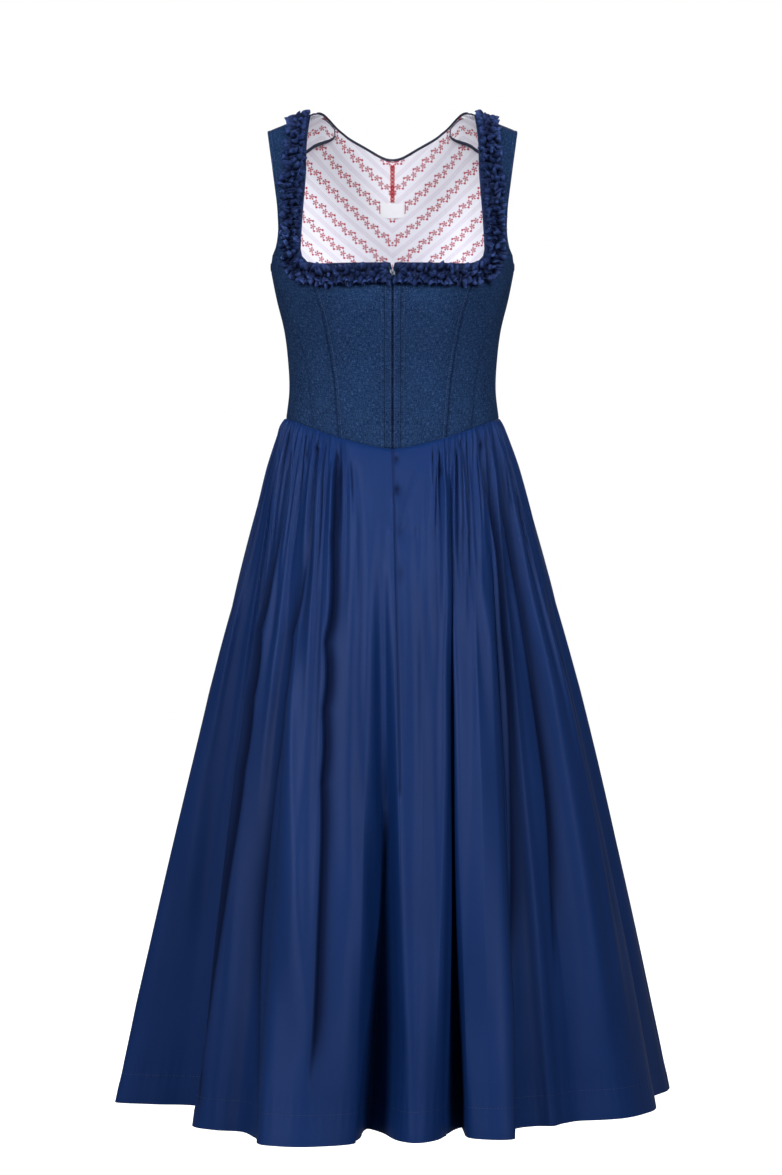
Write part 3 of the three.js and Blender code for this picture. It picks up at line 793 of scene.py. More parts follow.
linen = linenMaterial()
sateen = sateenMaterial()
ruffleCotton = ruffleMaterial()
liningPrint = liningMaterial("lining_print", 39)
facingPrint = liningMaterial("facing_print", 12, -1.0)
bindingCotton = plainMaterial("navy_binding", rgb(14, 20, 46), rgb(24, 32, 64), 0.6, 700.0, 0.3)
navyThread = plainMaterial("navy_thread", rgb(40, 58, 98), rgb(54, 74, 118), 0.5, 2500.0, 0.2)
redThread = plainMaterial("red_thread", rgb(186, 14, 30), rgb(214, 34, 48), 0.5, 2500.0, 0.2)
whiteThread = plainMaterial("white_thread", rgb(225, 227, 236), rgb(240, 241, 246), 0.5, 2500.0, 0.2)
labelSatin = plainMaterial("label_satin", rgb(236, 238, 244), rgb(246, 247, 251), 0.42, 1500.0, 0.15)
hookSteel = plainMaterial("hook_steel", rgb(190, 192, 198), rgb(222, 223, 227), 0.28, 400.0, 0.05, 1.0)
stitches = stitchTree()
print("materials made")

# Bodice panels

bodice = {"rows": 64, "strapRows": 44, "seamDip": 1.2, "seamWidth": 1.6, "rowDip": 0.5, "rowWidth": 0.9}
strapTop = {"fromX": 98, "frontColumns": 28, "backColumns": 52, "neckShare": 0.385}
# rows of topstitching, by their distance from a seam or an edge
topstitch = {"seam": 5.2, "opening": 13.2, "edge": 4}

# soft drags and buckles in the linen, as ridges between two places of the form
bodiceCreases = table(
    ("fromAngle", "fromLevel", "toAngle", "toLevel", "width", "height"),
    [
        (9, 378, 15, 300, 6, 0.7),
        (17, 384, 21, 318, 5, -0.6),
        (25, 372, 27, 330, 4, 0.6),
        (35, 352, 58, 338, 5, 0.8),
        (40, 338, 66, 322, 5, -0.8),
        (52, 305, 82, 318, 7, 0.9),
        (56, 214, 78, 196, 6, 1.0),
        (52, 226, 80, 214, 5, -0.8),
        (60, 240, 84, 232, 6, 0.7),
        (48, 98, 57, 118, 5, 0.6),
        (6, 232, 20, 226, 7, -0.5),
        (100, 300, 140, 320, 8, 0.9),
        (104, 330, 150, 344, 7, -0.9),
        (112, 210, 138, 196, 8, 0.8),
        (128, 120, 150, 90, 9, 0.8),
        (150, 330, 176, 340, 7, 0.8),
        (146, 300, 172, 306, 7, -0.7),
    ],
)


def creaseField(points):
    field = np.zeros(points.shape[:-1])
    for row in bodiceCreases:
        start = formPoint(row["fromAngle"], row["fromLevel"])
        end = formPoint(row["toAngle"], row["toLevel"])
        along = end - start
        share = np.clip(((points - start) @ along) / (along @ along), 0, 1)
        away = np.linalg.norm(points - start - share[..., None] * along, axis=-1)
        swell = np.sin(math.pi * (0.06 + 0.88 * share))
        field += row["height"] * ridge(away, row["width"]) * swell
    return field


def crowded(count, crowding=0.75):
    # even steps from 0 to 1, drawn together towards both ends
    t = np.linspace(0, 1, count + 1)
    return t - crowding * np.sin(2 * math.pi * t) / (2 * math.pi)


def bodyGrid(columns, innerSeam, outerSeam):
    share = crowded(bodice["rows"], 0.6)
    start, end = seamAngle(innerSeam, share), seamAngle(outerSeam, share)
    angles = start[:, None] + (end - start)[:, None] * crowded(columns)
    return angles, bodyLevel(angles, share[:, None])


def strapGrid(columns, fromAngle, toAngle, topAngles, topLevels, fromEdge, toEdge):
    rise = (np.arange(bodice["strapRows"])[:, None] + 1) / bodice["strapRows"]
    left = (1 - rise) ** 2
    across = crowded(columns)
    foot = fromAngle + (toAngle - fromAngle) * across
    levels = topLevels + (bodyTopAt(foot) - topLevels) * left
    plain = topAngles + (foot - topAngles) * left
    fromPull = fromEdge(levels[:, :1]) - plain[:, :1]
    toPull = toEdge(levels[:, -1:]) - plain[:, -1:]
    return plain + fromPull * (1 - across) + toPull * across, levels


def drawnIn(points, distance=0.06):
    # neighbouring panels stay apart by twice this distance
    moved = points.copy()
    moved[:, 0] += unit(points[:, 1] - points[:, 0]) * distance
    moved[:, -1] += unit(points[:, -2] - points[:, -1]) * distance
    moved[0] += unit(points[1] - points[0]) * distance
    moved[-1] += unit(points[-2] - points[-1]) * distance
    return moved


def centreEdge(level):
    # the closure's edge, which swings open a little at its top
    opened = np.clip((bodyTop[0]["level"] + 15 - level) / 15, 0, 1)
    return angleAt(0.15 + 2.6 * opened**2, level)


def straightSeam(angle):
    return lambda level: np.full(np.shape(level), float(angle))


class Panel:
    # one panel of the bodice, for the wearer's left: its grid, normals and places on the cloth
    def __init__(self, angles, levels):
        self.points = drawnIn(formPoint(angles, levels))
        self.normals = formNormal(angles, np.maximum(levels, 0.04))
        u, v = gridDistances(self.points)
        self.fromStart, self.fromEnd = u, u[:, -1:] - u
        self.fromFoot, self.fromTop = v, v[-1:] - v
        # rows above the armhole belong to the strap
        self.onBody = (np.arange(len(u)) <= bodice["rows"])[:, None] * 1.0
        middle = slice(u.shape[1] // 2, u.shape[1] // 2 + 1)
        self.uv = np.stack([u - u[:, middle], v[:, middle] + u * 0], -1)
        self.height = np.zeros(u.shape)
        self.lines = np.zeros(u.shape)

    def surface(self):
        return self.points + self.normals * self.height[..., None]

    def line(self, distance, fromStart=True, rows=slice(None)):
        # points at a distance in from one edge, with their normals
        away = (self.fromStart if fromStart else self.fromEnd)[rows]
        skin, normals = self.surface()[rows], self.normals[rows]
        places, outs = [], []
        for r in range(len(away)):
            order = np.argsort(away[r])
            places.append([np.interp(distance, away[r][order], skin[r][order, k]) for k in range(3)])
            outs.append([np.interp(distance, away[r][order], normals[r][order, k]) for k in range(3)])
        return np.array(places), unit(np.array(outs))


def strapPanel(columns, innerSeam, outerSeam, topAngles, topLevels):
    # a panel that goes on into the strap
    body = bodyGrid(columns, innerSeam, outerSeam)
    foot = body[0][-1]
    strap = strapGrid(columns, foot[0], foot[-1], topAngles, topLevels, innerSeam, outerSeam)
    return Panel(*(np.concatenate(part) for part in zip(body, strap)))


def makePanels():
    columns = strapTop["frontColumns"]
    frontX = strapTop["fromX"] + (crest["tipX"] - strapTop["fromX"]) * crowded(columns)
    backPlaces = [0, strapTop["neckShare"], 1]
    backX = np.interp(crowded(strapTop["backColumns"]), backPlaces, [crest["tipX"], crest["neckX"], 0])
    backLevels = np.where(backX < crest["neckX"], backNeckAt(backX), 0.0)
    backTops = angleAt(backX, backLevels, True)
    side, centreBack = straightSeam(90), straightSeam(180)
    frontTops, frontLevels = angleAt(frontX, 0.0), np.zeros(columns + 1)
    return {
        "front_centre": Panel(*bodyGrid(44, centreEdge, princessAt)),
        "front_strap": strapPanel(columns, princessAt, sideFrontAt, frontTops, frontLevels),
        "side_front": Panel(*bodyGrid(18, sideFrontAt, side)),
        "side_back": Panel(*bodyGrid(30, side, backSeamAt)),
        "back_centre": strapPanel(len(backX) - 1, backSeamAt, centreBack, backTops, backLevels),
    }


def seamDip(away):
    return -bodice["seamDip"] * ridge(away, bodice["seamWidth"])


def rowDip(away, distance):
    swell = 0.25 * ridge(away - distance / 2, distance / 3)
    return swell - bodice["rowDip"] * ridge(away - distance, bodice["rowWidth"])


def markSeams():
    seam, opening, edge = (topstitch[place] for place in ("seam", "opening", "edge"))
    for panel in panels.values():
        panel.lines = 0.45 * seamDip(panel.fromFoot)
    front, strapped, side, sideBack, back = panels.values()
    front.lines += seamDip(front.fromEnd) + rowDip(front.fromEnd, seam) + 0.5 * seamDip(front.fromStart)
    front.lines += rowDip(front.fromStart, opening) + rowDip(front.fromTop, edge)
    strapped.lines += (seamDip(strapped.fromStart) + 0.5 * seamDip(strapped.fromEnd)) * strapped.onBody
    strapped.lines += rowDip(strapped.fromStart, seam) * strapped.onBody * 0.6
    strapped.lines += rowDip(strapped.fromEnd, edge) * (1 - strapped.onBody)
    side.lines += 0.5 * seamDip(side.fromStart) + seamDip(side.fromEnd) + rowDip(side.fromTop, edge)
    sideBack.lines += seamDip(sideBack.fromStart) + seamDip(sideBack.fromEnd)
    sideBack.lines += rowDip(sideBack.fromTop, edge)
    back.lines += seamDip(back.fromEnd) + seamDip(back.fromStart) * back.onBody
    back.lines += rowDip(back.fromStart, edge) * (1 - back.onBody) + rowDip(back.fromTop, edge)
    for panel in panels.values():
        panel.height = creaseField(panel.points) + panel.lines


# flat size and area of each panel's cut, in metres
panelSheets = {
    "front_centre": ((0.112, 0.225), 0.0185),
    "front_strap": ((0.100, 0.420), 0.0205),
    "side_front": ((0.090, 0.205), 0.0119),
    "side_back": ((0.120, 0.235), 0.0205),
    "back_centre": ((0.170, 0.395), 0.0430),
}


def makeBodice():
    for name, panel in panels.items():
        # painted shade in the seam grooves and stitch rows, as deep as they dip
        dark = np.clip(-panel.lines, 0, 1)
        inner = panel.points - panel.normals * wall["bodice"]
        for hand, grids in bothSides(panel.surface(), inner):
            piece = shell(f"{name}_cloth_{hand}", *grids, panel.uv, [linen, liningPrint], painted_shade=dark)
            declare(piece, "linen", f"bodice_{name}_{hand}", *panelSheets[name])


panels = makePanels()
markSeams()
makeBodice()
print("bodice made")

# Back lining, piping, facings, label

lining = {"pull": 0.8, "pullWidth": 2.0, "puff": 0.5, "puffAt": (14, 90), "puffWidth": (9, 60)}


def makeLining():
    panel = panels["back_centre"]
    outer = panel.points - panel.normals * (wall["bodice"] + wall["gap"])
    pull = lining["pull"] * ridge(panel.fromEnd, lining["pullWidth"])
    aside, down = panel.fromEnd - lining["puffAt"][0], panel.fromTop - lining["puffAt"][1]
    wide, tall = lining["puffWidth"]
    pull = pull + lining["puff"] * ridge(aside, wide) * ridge(down, tall)
    inner = outer - panel.normals * (wall["lining"] - pull[..., None] * 0.7)
    uv = np.stack([panel.fromEnd, panel.points[..., 2] * 1.02], -1)
    for hand, grids in bothSides(outer, inner):
        piece = shell(f"lining_{hand}", *grids, uv, [liningPrint])
        declare(piece, "lining", f"lining_back_{hand}", (0.170, 0.395), 0.0430)


def tube(name, line, radii, material, sides=10):
    # a closed round tube along a line, with a radius for each place
    along = unit(np.gradient(line, axis=0))
    side = unit(np.cross(along, np.array([0.0, 0.31, 0.95])))
    up = np.cross(side, along)
    turn = np.linspace(0, 2 * math.pi, sides, endpoint=False)
    ends = np.concatenate([[0.02], np.ones(len(line) - 2), [0.02]])
    rings = np.cos(turn)[None, :, None] * side[:, None] + np.sin(turn)[None, :, None] * up[:, None]
    points = line[:, None] + rings * (np.asarray(radii) * ends)[:, None, None]
    count = len(line)
    index = np.arange(count * sides).reshape(count, sides)
    following = np.roll(index, -1, axis=1)
    quads = np.stack([index[:-1], following[:-1], following[1:], index[1:]], -1).reshape(-1, 4)
    flat = points.reshape(-1, 3)
    if volumeOf(flat, quads) < 0:
        quads = quads[:, ::-1]
    lengths = np.concatenate([[0], np.cumsum(np.linalg.norm(np.diff(line, axis=0), axis=-1))])
    uv = np.stack([np.repeat(turn[None] * 2, count, 0), np.repeat(lengths[:, None], sides, 1)], -1)
    return meshOf(name, flat, quads, uv.reshape(-1, 2), [material], sharpness=80)


piping = {"steps": 32, "rise": 2.0, "inset": 1.45, "radius": 1.35}


def makePiping():
    x = crest["neckX"] * (1 - np.linspace(0, 1, piping["steps"] + 1))
    levels = np.concatenate([[0.0], backNeckAt(x[1:])])
    angles = np.concatenate([[angleAt(x[0], 0.0, True)], angleAt(x[1:], levels[1:], True)])
    rim = formPoint(angles, levels)
    above = unit(rim - formPoint(angles, levels + 3))
    half = rim + above * piping["rise"] - formNormal(angles, np.maximum(levels, 0.04)) * piping["inset"]
    line = np.concatenate([half, mirrorX(half[-2::-1])])
    tubing = tube("neck_piping_cloth", line, np.full(len(line), piping["radius"]), bindingCotton)
    settle(tubing, "ruffle", "neck_piping")


facing = {"depth": 4.6, "droop": 2.6, "wall": 1.2, "neckX": 72, "below": 0.6, "ripple": 0.35}
edging = {"side": 0.75, "hem": 2.1, "uneven": 0.06, "turn": 5, "sideOut": 0.9, "hemOut": 1.7}


def facingGrids():
    x = np.linspace(facing["neckX"], crest["tipX"] - 2, 37)[None]
    fall = np.linspace(0, 1, 25)[:, None]
    neckTop = np.where(x < crest["neckX"], backNeckAt(x), 0)
    topLevel = np.maximum(neckTop, 1.6) + facing["below"]
    levels = topLevel + (facingEdgeAt(x) - topLevel) * fall
    angles = angleAt(x, levels, True)
    normals = formNormal(angles, levels)
    sag = facing["droop"] * fall**2 + facing["ripple"] * np.sin(x * 0.23 + fall * 2) * fall
    outer = formPoint(angles, levels) - normals * (facing["depth"] + sag)[..., None]
    return outer, outer - normals * facing["wall"]


def facingEdging(outer, inner):
    # the line and radii of the binding, thin down the neck side and thick along the hem
    thick = (outer + inner) / 2
    side = np.concatenate([thick[0, 8:0:-1], thick[:-3, 0]])
    side = side + unit(thick[4, 0] - thick[4, 3]) * edging["sideOut"]
    hem = thick[-1] + unit(thick[-1] - thick[-3]) * edging["hemOut"]
    line = np.concatenate([side, hem[1:]])
    for _ in range(3):
        line[1:-1] = (line[:-2] + 2 * line[1:-1] + line[2:]) / 4
    corner = len(side) - 1
    places = [corner - edging["turn"], corner + edging["turn"]]
    step = np.arange(len(line))
    radii = np.interp(step, places, [edging["side"], edging["hem"]])
    return line, radii * (1 + edging["uneven"] * np.sin(step * 1.9))


def makeFacings():
    outer, inner = facingGrids()
    line, radii = facingEdging(outer, inner)
    uv = np.stack(gridDistances(outer), -1)
    for hand, (front, behind, bound) in bothSides(outer, inner, line):
        piece = shell(f"strap_facing_cloth_{hand}", front, behind, uv, [facingPrint])
        declare(piece, "lining", f"strap_facing_{hand}", (0.086, 0.038), 0.0026)
        binding = tube(f"strap_binding_cloth_{hand}", bound, radii, bindingCotton)
        settle(binding, "ruffle", f"strap_binding_{hand}")


label = {"width": 29.4, "height": 15.6, "level": 100, "wall": 0.6, "puff": 0.25, "ripple": 0.12}


def makeLabel():
    up, across = np.meshgrid(np.linspace(1, -1, 17), np.linspace(-1, 1, 31), indexing="ij")
    levels = label["level"] - up * label["height"] / 2
    angles = 180 - angleAt(across * label["width"] / 2, levels)
    normals = formNormal(angles, levels)
    puff = label["puff"] * (1 - across**2) + label["ripple"] * np.sin(across * 5 + up * 3)
    outer = formPoint(angles, levels) - normals * (wall["bodice"] + wall["lining"] + 2 * wall["gap"])
    inner = outer - normals * (label["wall"] + puff)[..., None]
    uv = np.stack([across * label["width"] / 2, up * label["height"] / 2], -1)
    piece = shell("label_cloth", outer, inner, uv, [labelSatin])
    declare(piece, "lining", "neck_label", (0.030, 0.0165), None, "laid")
    sewn = [(inner[:, column], -normals[:, column]) for column in (1, -2)]
    stitchRows("label_stitches", sewn, whiteThread, "lining", pitch=2.4, length=1.6, thickness=0.16)


crosses = {"count": 10, "top": 52.5, "bottom": 91, "half": 2.9, "bow": 0.55, "over": 0.15, "radius": 0.7}


def makeCrossStitches():
    # red cross stitches down the lining's centre seam
    levels = np.linspace(crosses["top"], crosses["bottom"], crosses["count"] + 1)
    reach = np.linspace(-1, 1, 7)
    on = wall["bodice"] + wall["lining"] + wall["gap"] + 0.35
    number = 0
    for top, bottom in zip(levels[:-1], levels[1:]):
        for sign in (1, -1):
            number += 1
            level = (top + bottom) / 2 + sign * reach * (bottom - top) / 2
            angle = 180 - angleAt(reach * crosses["half"], level)
            depth = on + crosses["bow"] * (1 - reach**2) + crosses["over"] * sign
            line = formPoint(angle, level) - formNormal(angle, level) * depth[:, None]
            strand = tube(f"cross_stitch_{number}", line, np.full(7, crosses["radius"]), redThread, sides=7)
            settle(strand, "lining")


makeLining()
makePiping()
makeFacings()
makeLabel()
makeCrossStitches()
print("lining made")

# Placket strips, topstitching, hook and eye

placket = {"from": 0.8, "to": 9.6, "wall": 0.7, "top": 207, "swell": 0.9, "rowDip": 0.45, "ripple": 0.1}


def makePlackets():
    # both strips, and the lines of their topstitching
    share = np.linspace(0, 1, 90)[:, None]
    start, end = placket["from"], placket["to"]
    x = np.linspace(start, end, 15)[None]
    foot = float(waistLevel(0.0))
    level = foot - 1.5 + (placket["top"] - foot + 1.5) * share
    angles = angleAt(x, level)
    levels = level - (foot - waistLevel(angles)) * (1 - share)
    normals = formNormal(angles, levels)
    middle = (start + end) / 2
    crown = 1 - np.abs((x - middle) / (end - middle)) ** 5
    sewn = ridge(x - end + 1.6, 0.6) + 0.5 * ridge(x - start - 1.2, 0.6)
    taper = np.clip((foot + 1 - level) / 9, 0.15, 1)
    ripple = placket["ripple"] * np.sin(level * 0.11 + x * 0.2)
    swell = (placket["swell"] * crown + ripple - placket["rowDip"] * sewn) * taper
    base = formPoint(angles, levels)
    inner = base + normals * wall["gap"]
    outer = base + normals * (wall["gap"] + placket["wall"] + swell)[..., None]
    uv = np.stack([x + level * 0, -level + x * 0], -1)
    # painted shade along the stitch lines and down the strips' sides
    painted_shade = np.clip(0.7 * sewn + 1 - crown + 0 * level, 0, 1)
    lines = []
    for hand, (skin, behind, out) in bothSides(outer, inner, normals):
        piece = shell(f"placket_cloth_{hand}", skin, behind, uv, [linen], painted_shade=painted_shade)
        declare(piece, "linen", f"front_placket_{hand}", (0.0105, 0.190), None, "laid")
        lines += [(skin[:, column], out[:, column]) for column in (2, 12)]
    return lines


def makeTopstitching(lines):
    front, strapped, back = (panels[name] for name in ("front_centre", "front_strap", "back_centre"))
    above = slice(bodice["rows"] + 1, None)
    sewn = (
        front.line(topstitch["seam"], False),
        front.line(topstitch["opening"], True),
        strapped.line(topstitch["edge"], False, above),
        back.line(topstitch["edge"], True, above),
    )
    lines = lines + [grids for row in sewn for _, grids in bothSides(*row)]
    stitchRows("bodice_stitches", lines, navyThread, "linen", pitch=2.7, length=2.0, thickness=0.19)


hook = {"level": 194.0, "out": 1.1, "rise": 0.5, "radius": 0.36, "loop": 0.85, "loopX": 2.0, "loopZ": -1.7}
# the bent wire's shank, as x and z from the middle of the closure
shank = [[2.1, -0.6], [1.9, 0.4], [1.2, 1.3], [0.3, 2.0], [-0.1, 2.9], [0.6, 3.5], [1.5, 3.1]]


def wire(name, side, node):
    # a bent wire with a loop at its sewn end
    turn = np.linspace(0, 1.8 * math.pi, 16) + 0.6
    loopX = hook["loopX"] + hook["loop"] * np.cos(turn)
    loop = np.stack([loopX, hook["loopZ"] + hook["loop"] * np.sin(turn)], -1)
    flat = np.concatenate([loop[::-1], np.array(shank)])
    centre, normal = formPoint(0.0, hook["level"]), formNormal(0.0, hook["level"])
    bent = np.stack([side * flat[:, 0], flat[:, 0] * 0, side * flat[:, 1]], -1)
    rise = (hook["rise"] * side * ridge(flat[:, 0], 0.8))[:, None]
    line = centre + normal * hook["out"] + bent + normal * rise
    settle(tube(name, line, np.full(len(line), hook["radius"]), hookSteel, sides=8), "hook", node)


makeTopstitching(makePlackets())
wire("hook_wire", 1, "front_hook")
wire("eye_wire", -1, "front_eye")
print("closure made")

# Ruffle: a gathered strip covered in pinched tucks, the larger ones on the shoulder

ruffle = {"columns": 340, "rows": 15, "waveLength": 5.4, "height": 2.2, "seed": 17}

# kinds of tuck: a leaf folded along its middle, and a small hood that stands open
tuckKinds = table(
    ("length", "halfWidth", "tall", "curl", "open"),
    [(10.5, 3.6, 4.2, -1.0, 0.0), (12.0, 3.2, 3.8, 0.6, 0.0), (8.2, 3.7, 4.0, 0.4, 1.0)],
)

# where tucks stand: share across the strip, its unevenness, pitch, way they point, swing and tilt
tuckRows = table(
    ("kind", "across", "uneven", "pitch", "way", "swing", "tilt", "size"),
    [
        (0, 0.36, 0.08, 5.6, -1, 0.75, 0.30, 1.1),
        (1, 0.58, 0.08, 5.4, 1, 0.75, 0.30, 1.1),
        (2, 0.76, 0.05, 8.6, 1, 0.5, 0.75, 1.05),
        (2, 0.2, 0.05, 8.5, -1, 0.5, 0.8, 0.85),
        (0, 0.48, 0.14, 8.0, 1, 1.6, 0.6, 1.05),
        (1, 0.60, 0.10, 10.0, -1, 1.2, 0.5, 1.0),
    ],
)
rays = {"count": 6, "spread": 1.15, "tilt": 0.18, "angle": 1.6, "level": 194, "apart": 0.5, "out": 2.2}


def ruffleAlong():
    rows = [dict(row, at=i) for i, row in enumerate(rufflePath)]
    labels = ("innerAngle", "innerLevel", "outerAngle", "outerLevel", "fullness")
    along = {label: smooth(rows, "at", label) for label in labels}
    samples = np.linspace(0, len(rufflePath) - 1, 900)
    middle = formPoint(*rufflePlace(along, samples, 0.5))
    steps = np.linalg.norm(np.diff(middle, axis=0), axis=-1)
    return along, samples, np.concatenate([[0], np.cumsum(steps)])


def rufflePlace(along, at, across):
    angle = along["innerAngle"](at) * (1 - across) + along["outerAngle"](at) * across
    level = along["innerLevel"](at) * (1 - across) + along["outerLevel"](at) * across
    return angle, np.maximum(level, 0.04)


def tuckMesh(number, kind):
    b, a = np.meshgrid(np.linspace(0, 1, 6), np.linspace(-1, 1, 7), indexing="ij")
    leaf = np.sin(math.pi * (0.05 + 0.93 * b)) ** 0.75
    hood = 0.4 + 0.6 * np.sin(math.pi / 2 * b) ** 0.7
    half = kind["halfWidth"] * (leaf * (1 - kind["open"]) + hood * kind["open"])
    fold = (1 - np.abs(a) ** (1.1 + 1.1 * kind["open"])) * (0.5 + 0.5 * np.sin(math.pi * b * 0.8))
    x = kind["length"] * (b - 0.1 * a**2 * b)
    y = half * a + 0.35 * np.sin(5 * b + number)
    z = 0.3 + kind["tall"] * fold + kind["curl"] * b**2 + 0.4 * np.sin(4 * b + number) * a
    outer = np.stack([x, y, z], -1)
    inner = np.stack([x * 0.98, y * 0.92, z - 0.5], -1)
    # painted shade at the tuck's root and along its sides
    tuckShade = np.clip(1.3 * (1 - b) ** 1.3 + 0.5 * np.abs(a) ** 3, 0, 1)
    uv = np.stack([a * 4, b * 10], -1)
    return shell(f"tuck_{number}", outer, inner, uv, [ruffleCotton], rounding=0.2, painted_shade=tuckShade)


def tuckTree():
    tree, given = pointTree("tucks", (("Tuck", "Object"), ("Cloth", "Material")))
    info = tree.nodes.new("GeometryNodeObjectInfo")
    tree.links.new(given.outputs["Tuck"], info.inputs["Object"])
    repeatOnPoints(tree, given, info.outputs["Geometry"], "Cloth", "size")
    return tree


def tuckPlaces(row, along, samples, lengths, draw):
    total = lengths[-1]
    count = int(total / row["pitch"])
    s = (np.arange(count) + 0.5 + draw.uniform(-0.35, 0.35, count)) * total / count
    at = np.interp(np.clip(s, 4, total - 0.5), lengths, samples)
    across = row["across"] + draw.uniform(-1, 1, count) * row["uneven"]
    level = rufflePlace(along, at, across)[1]
    across = across + 0.06 * np.clip((level - 165) / 12, 0, 1)
    used = (row["across"] > 0.3) | (level < 165)
    at, across, count = at[used], across[used], int(used.sum())
    angle, level = rufflePlace(along, at, across)
    foot, normal = formPoint(angle, level), formNormal(angle, level)
    ahead = unit(formPoint(*rufflePlace(along, at, across + 0.1 * row["way"])) - foot)
    beside = np.cross(normal, ahead)
    swing = draw.normal(0, row["swing"] / 1.6, count)[:, None]
    tilt = (row["tilt"] + draw.uniform(-0.25, 0.25, count)) * np.interp(level, [0, 6, 26], [0.1, 0.35, 1])
    tilt = tilt[:, None]
    flat = ahead * np.cos(swing) + beside * np.sin(swing)
    full = along["fullness"](at)
    size = row["size"] * draw.uniform(0.8, 1.15, count)
    return {
        "point": foot + normal * (1.4 * full)[:, None],
        "along": flat * np.cos(tilt) + normal * np.sin(tilt),
        "out": normal * np.cos(tilt) - flat * np.sin(tilt),
        "size": np.stack([size, size * draw.uniform(0.75, 1.2, count), size], -1),
    }


def rayPlaces():
    # tucks drawn together at the hook
    turn = np.linspace(-rays["spread"], rays["spread"], rays["count"])[:, None]
    foot = formPoint(rays["angle"], rays["level"])[None]
    normal = formNormal(rays["angle"], rays["level"])[None]
    flat = np.concatenate([np.cos(turn), 0 * turn, np.sin(turn)], -1)
    return {
        "point": foot + flat * rays["apart"] + normal * rays["out"],
        "along": unit(flat * math.cos(rays["tilt"]) + normal * math.sin(rays["tilt"])),
        "out": unit(normal * math.cos(rays["tilt"]) - flat * math.sin(rays["tilt"])),
        "size": np.tile([[1.12, 0.8, 0.8]], (rays["count"], 1)),
    }


def ruffleStrip(along, samples, lengths):
    s = np.linspace(0, lengths[-1], ruffle["columns"])[None]
    q = np.linspace(0, 1, ruffle["rows"])[:, None]
    at = np.interp(s, lengths, samples)
    phase = 2 * math.pi * s / ruffle["waveLength"] + 1.3 * np.sin(s * 0.13) + 0.9 * np.sin(s * 0.31 + 1)
    angle, level = rufflePlace(along, at, np.clip(q, 0.01, 1))
    base, out = formPoint(angle, level), formNormal(angle, level)
    puff = np.sin(phase + 2.4 * (q - 0.5)) * 0.5 + 0.5
    body = (0.9 + ruffle["height"] * puff) * (np.abs(np.sin(math.pi * q)) ** 0.35) * along["fullness"](at)
    outer = base + out * (0.4 + np.maximum(body, 0.7))[..., None]
    return outer, base + out * 0.4, np.stack([s + q * 0, q * 25 + s * 0], -1)


def joined(pieces):
    with bpy.context.temp_override(active_object=pieces[0], selected_editable_objects=pieces):
        bpy.ops.object.join()
    return pieces[0]


def makeRuffle():
    path = ruffleAlong()
    tree = tuckTree()
    tucks = [tuckMesh(number, kind) for number, kind in enumerate(tuckKinds)]
    outer, inner, uv = ruffleStrip(*path)
    # painted shade over the whole strip, which lies under the tucks
    tuckShade = np.full(outer.shape[:2], 0.75)
    for step, (hand, turned) in enumerate(bothSides(outer, inner)):
        draw = np.random.default_rng(ruffle["seed"] + step)
        pieces = [shell(f"ruffle_cloth_{hand}", *turned, uv, [ruffleCotton], painted_shade=tuckShade)]
        for number, tuck in enumerate(tucks):
            sets = [tuckPlaces(row, *path, draw) for row in tuckRows if row["kind"] == number]
            if number == 1:
                sets.append(rayPlaces())
            place = {label: np.concatenate([part[label] for part in sets]) for label in sets[0]}
            if hand == "right":
                place.update({label: mirrorX(place[label]) for label in ("point", "along", "out")})
            points = place.pop("point")
            cloud = pointCloud(f"tucks_{number}_{hand}", points, place)
            pieces.append(realised(cloud, tree, {"Tuck": tuck, "Cloth": ruffleCotton}, False))
        declare(joined(pieces), "ruffle", f"neck_ruffle_{hand}", (0.95, 0.042), None, "gathered")
    for tuck in tucks:
        bpy.data.objects.remove(tuck)


makeRuffle()
print("ruffle made")

# Skirt

skirtForm = {"exponent": 0.83, "belly": 0.13, "crownSpan": 0.36, "rows": 76, "rimGap": 0.08, "apart": 0.15}
# the skirt's height and length of cloth, and heights above the hem of its turning and stitches
hemline = {"height": 812, "cloth": 830, "turning": 34, "stitches": 35}
# steps between columns in front and behind, in millimetres of cloth
columnSteps = {"hemFront": 1.9, "hemBack": 3.8, "waistFront": 0.62, "waistBack": 1.2}
folds = table(
    (
        "angle",
        "crownX",
        "crownY",
        "breadth",
        "turn",
        "swell",
        "valleyX",
        "valleyY",
        "sway",
        "onset",
        "narrow",
    ),
    [
        (16, 26, -262, 36, -4, 11, 79, -176, 0, 0.9, 0.75),
        (44, 109, -243, 48, -2, 8, 141, -186, 0, 0.3, 0.35),
        (60, 180, -160, 40, 28, 8, 213, -136, 0, 0.4, 0.4),
        (73, 290, -82, 84, 58, 9, 309, 20, 0, 0.4, 0.4),
        (97, 333, 108, 74, 96, 9, 290, 158, 0, 0.4, 0.4),
        (116, 256, 222, 50, 158, 10, 205, 192, 0, 0.3, 0.4),
        (139, 154, 252, 48, 163, 12, 99, 202, 0, 0.5, 0.4),
        (164, 45, 268, 58, 168, 12, -3, 216, 0, 0.3, 0.5),
        (191, -46, 270, 56, 186, 12, -101, 206, 0, 0.4, 0.4),
        (217, -152, 254, 54, 198, 11, -207, 184, 0, 0.3, 0.4),
        (242, -252, 198, 58, 214, 10, -279, 146, 0, 0.5, 0.4),
        (262, -312, 88, 70, 252, 9, -312, 24, 0, 0.4, 0.3),
        (277, -290, -18, 86, -12, 5, -202, -58, 0, 0.15, 0.0),
        (298, -200, -186, 66, -34, 7, -154, -242, 0, 0.4, 0.3),
        (327, -96, -280, 100, 4, 15, -28, -184, 16, 0.85, 0.1),
    ],
)


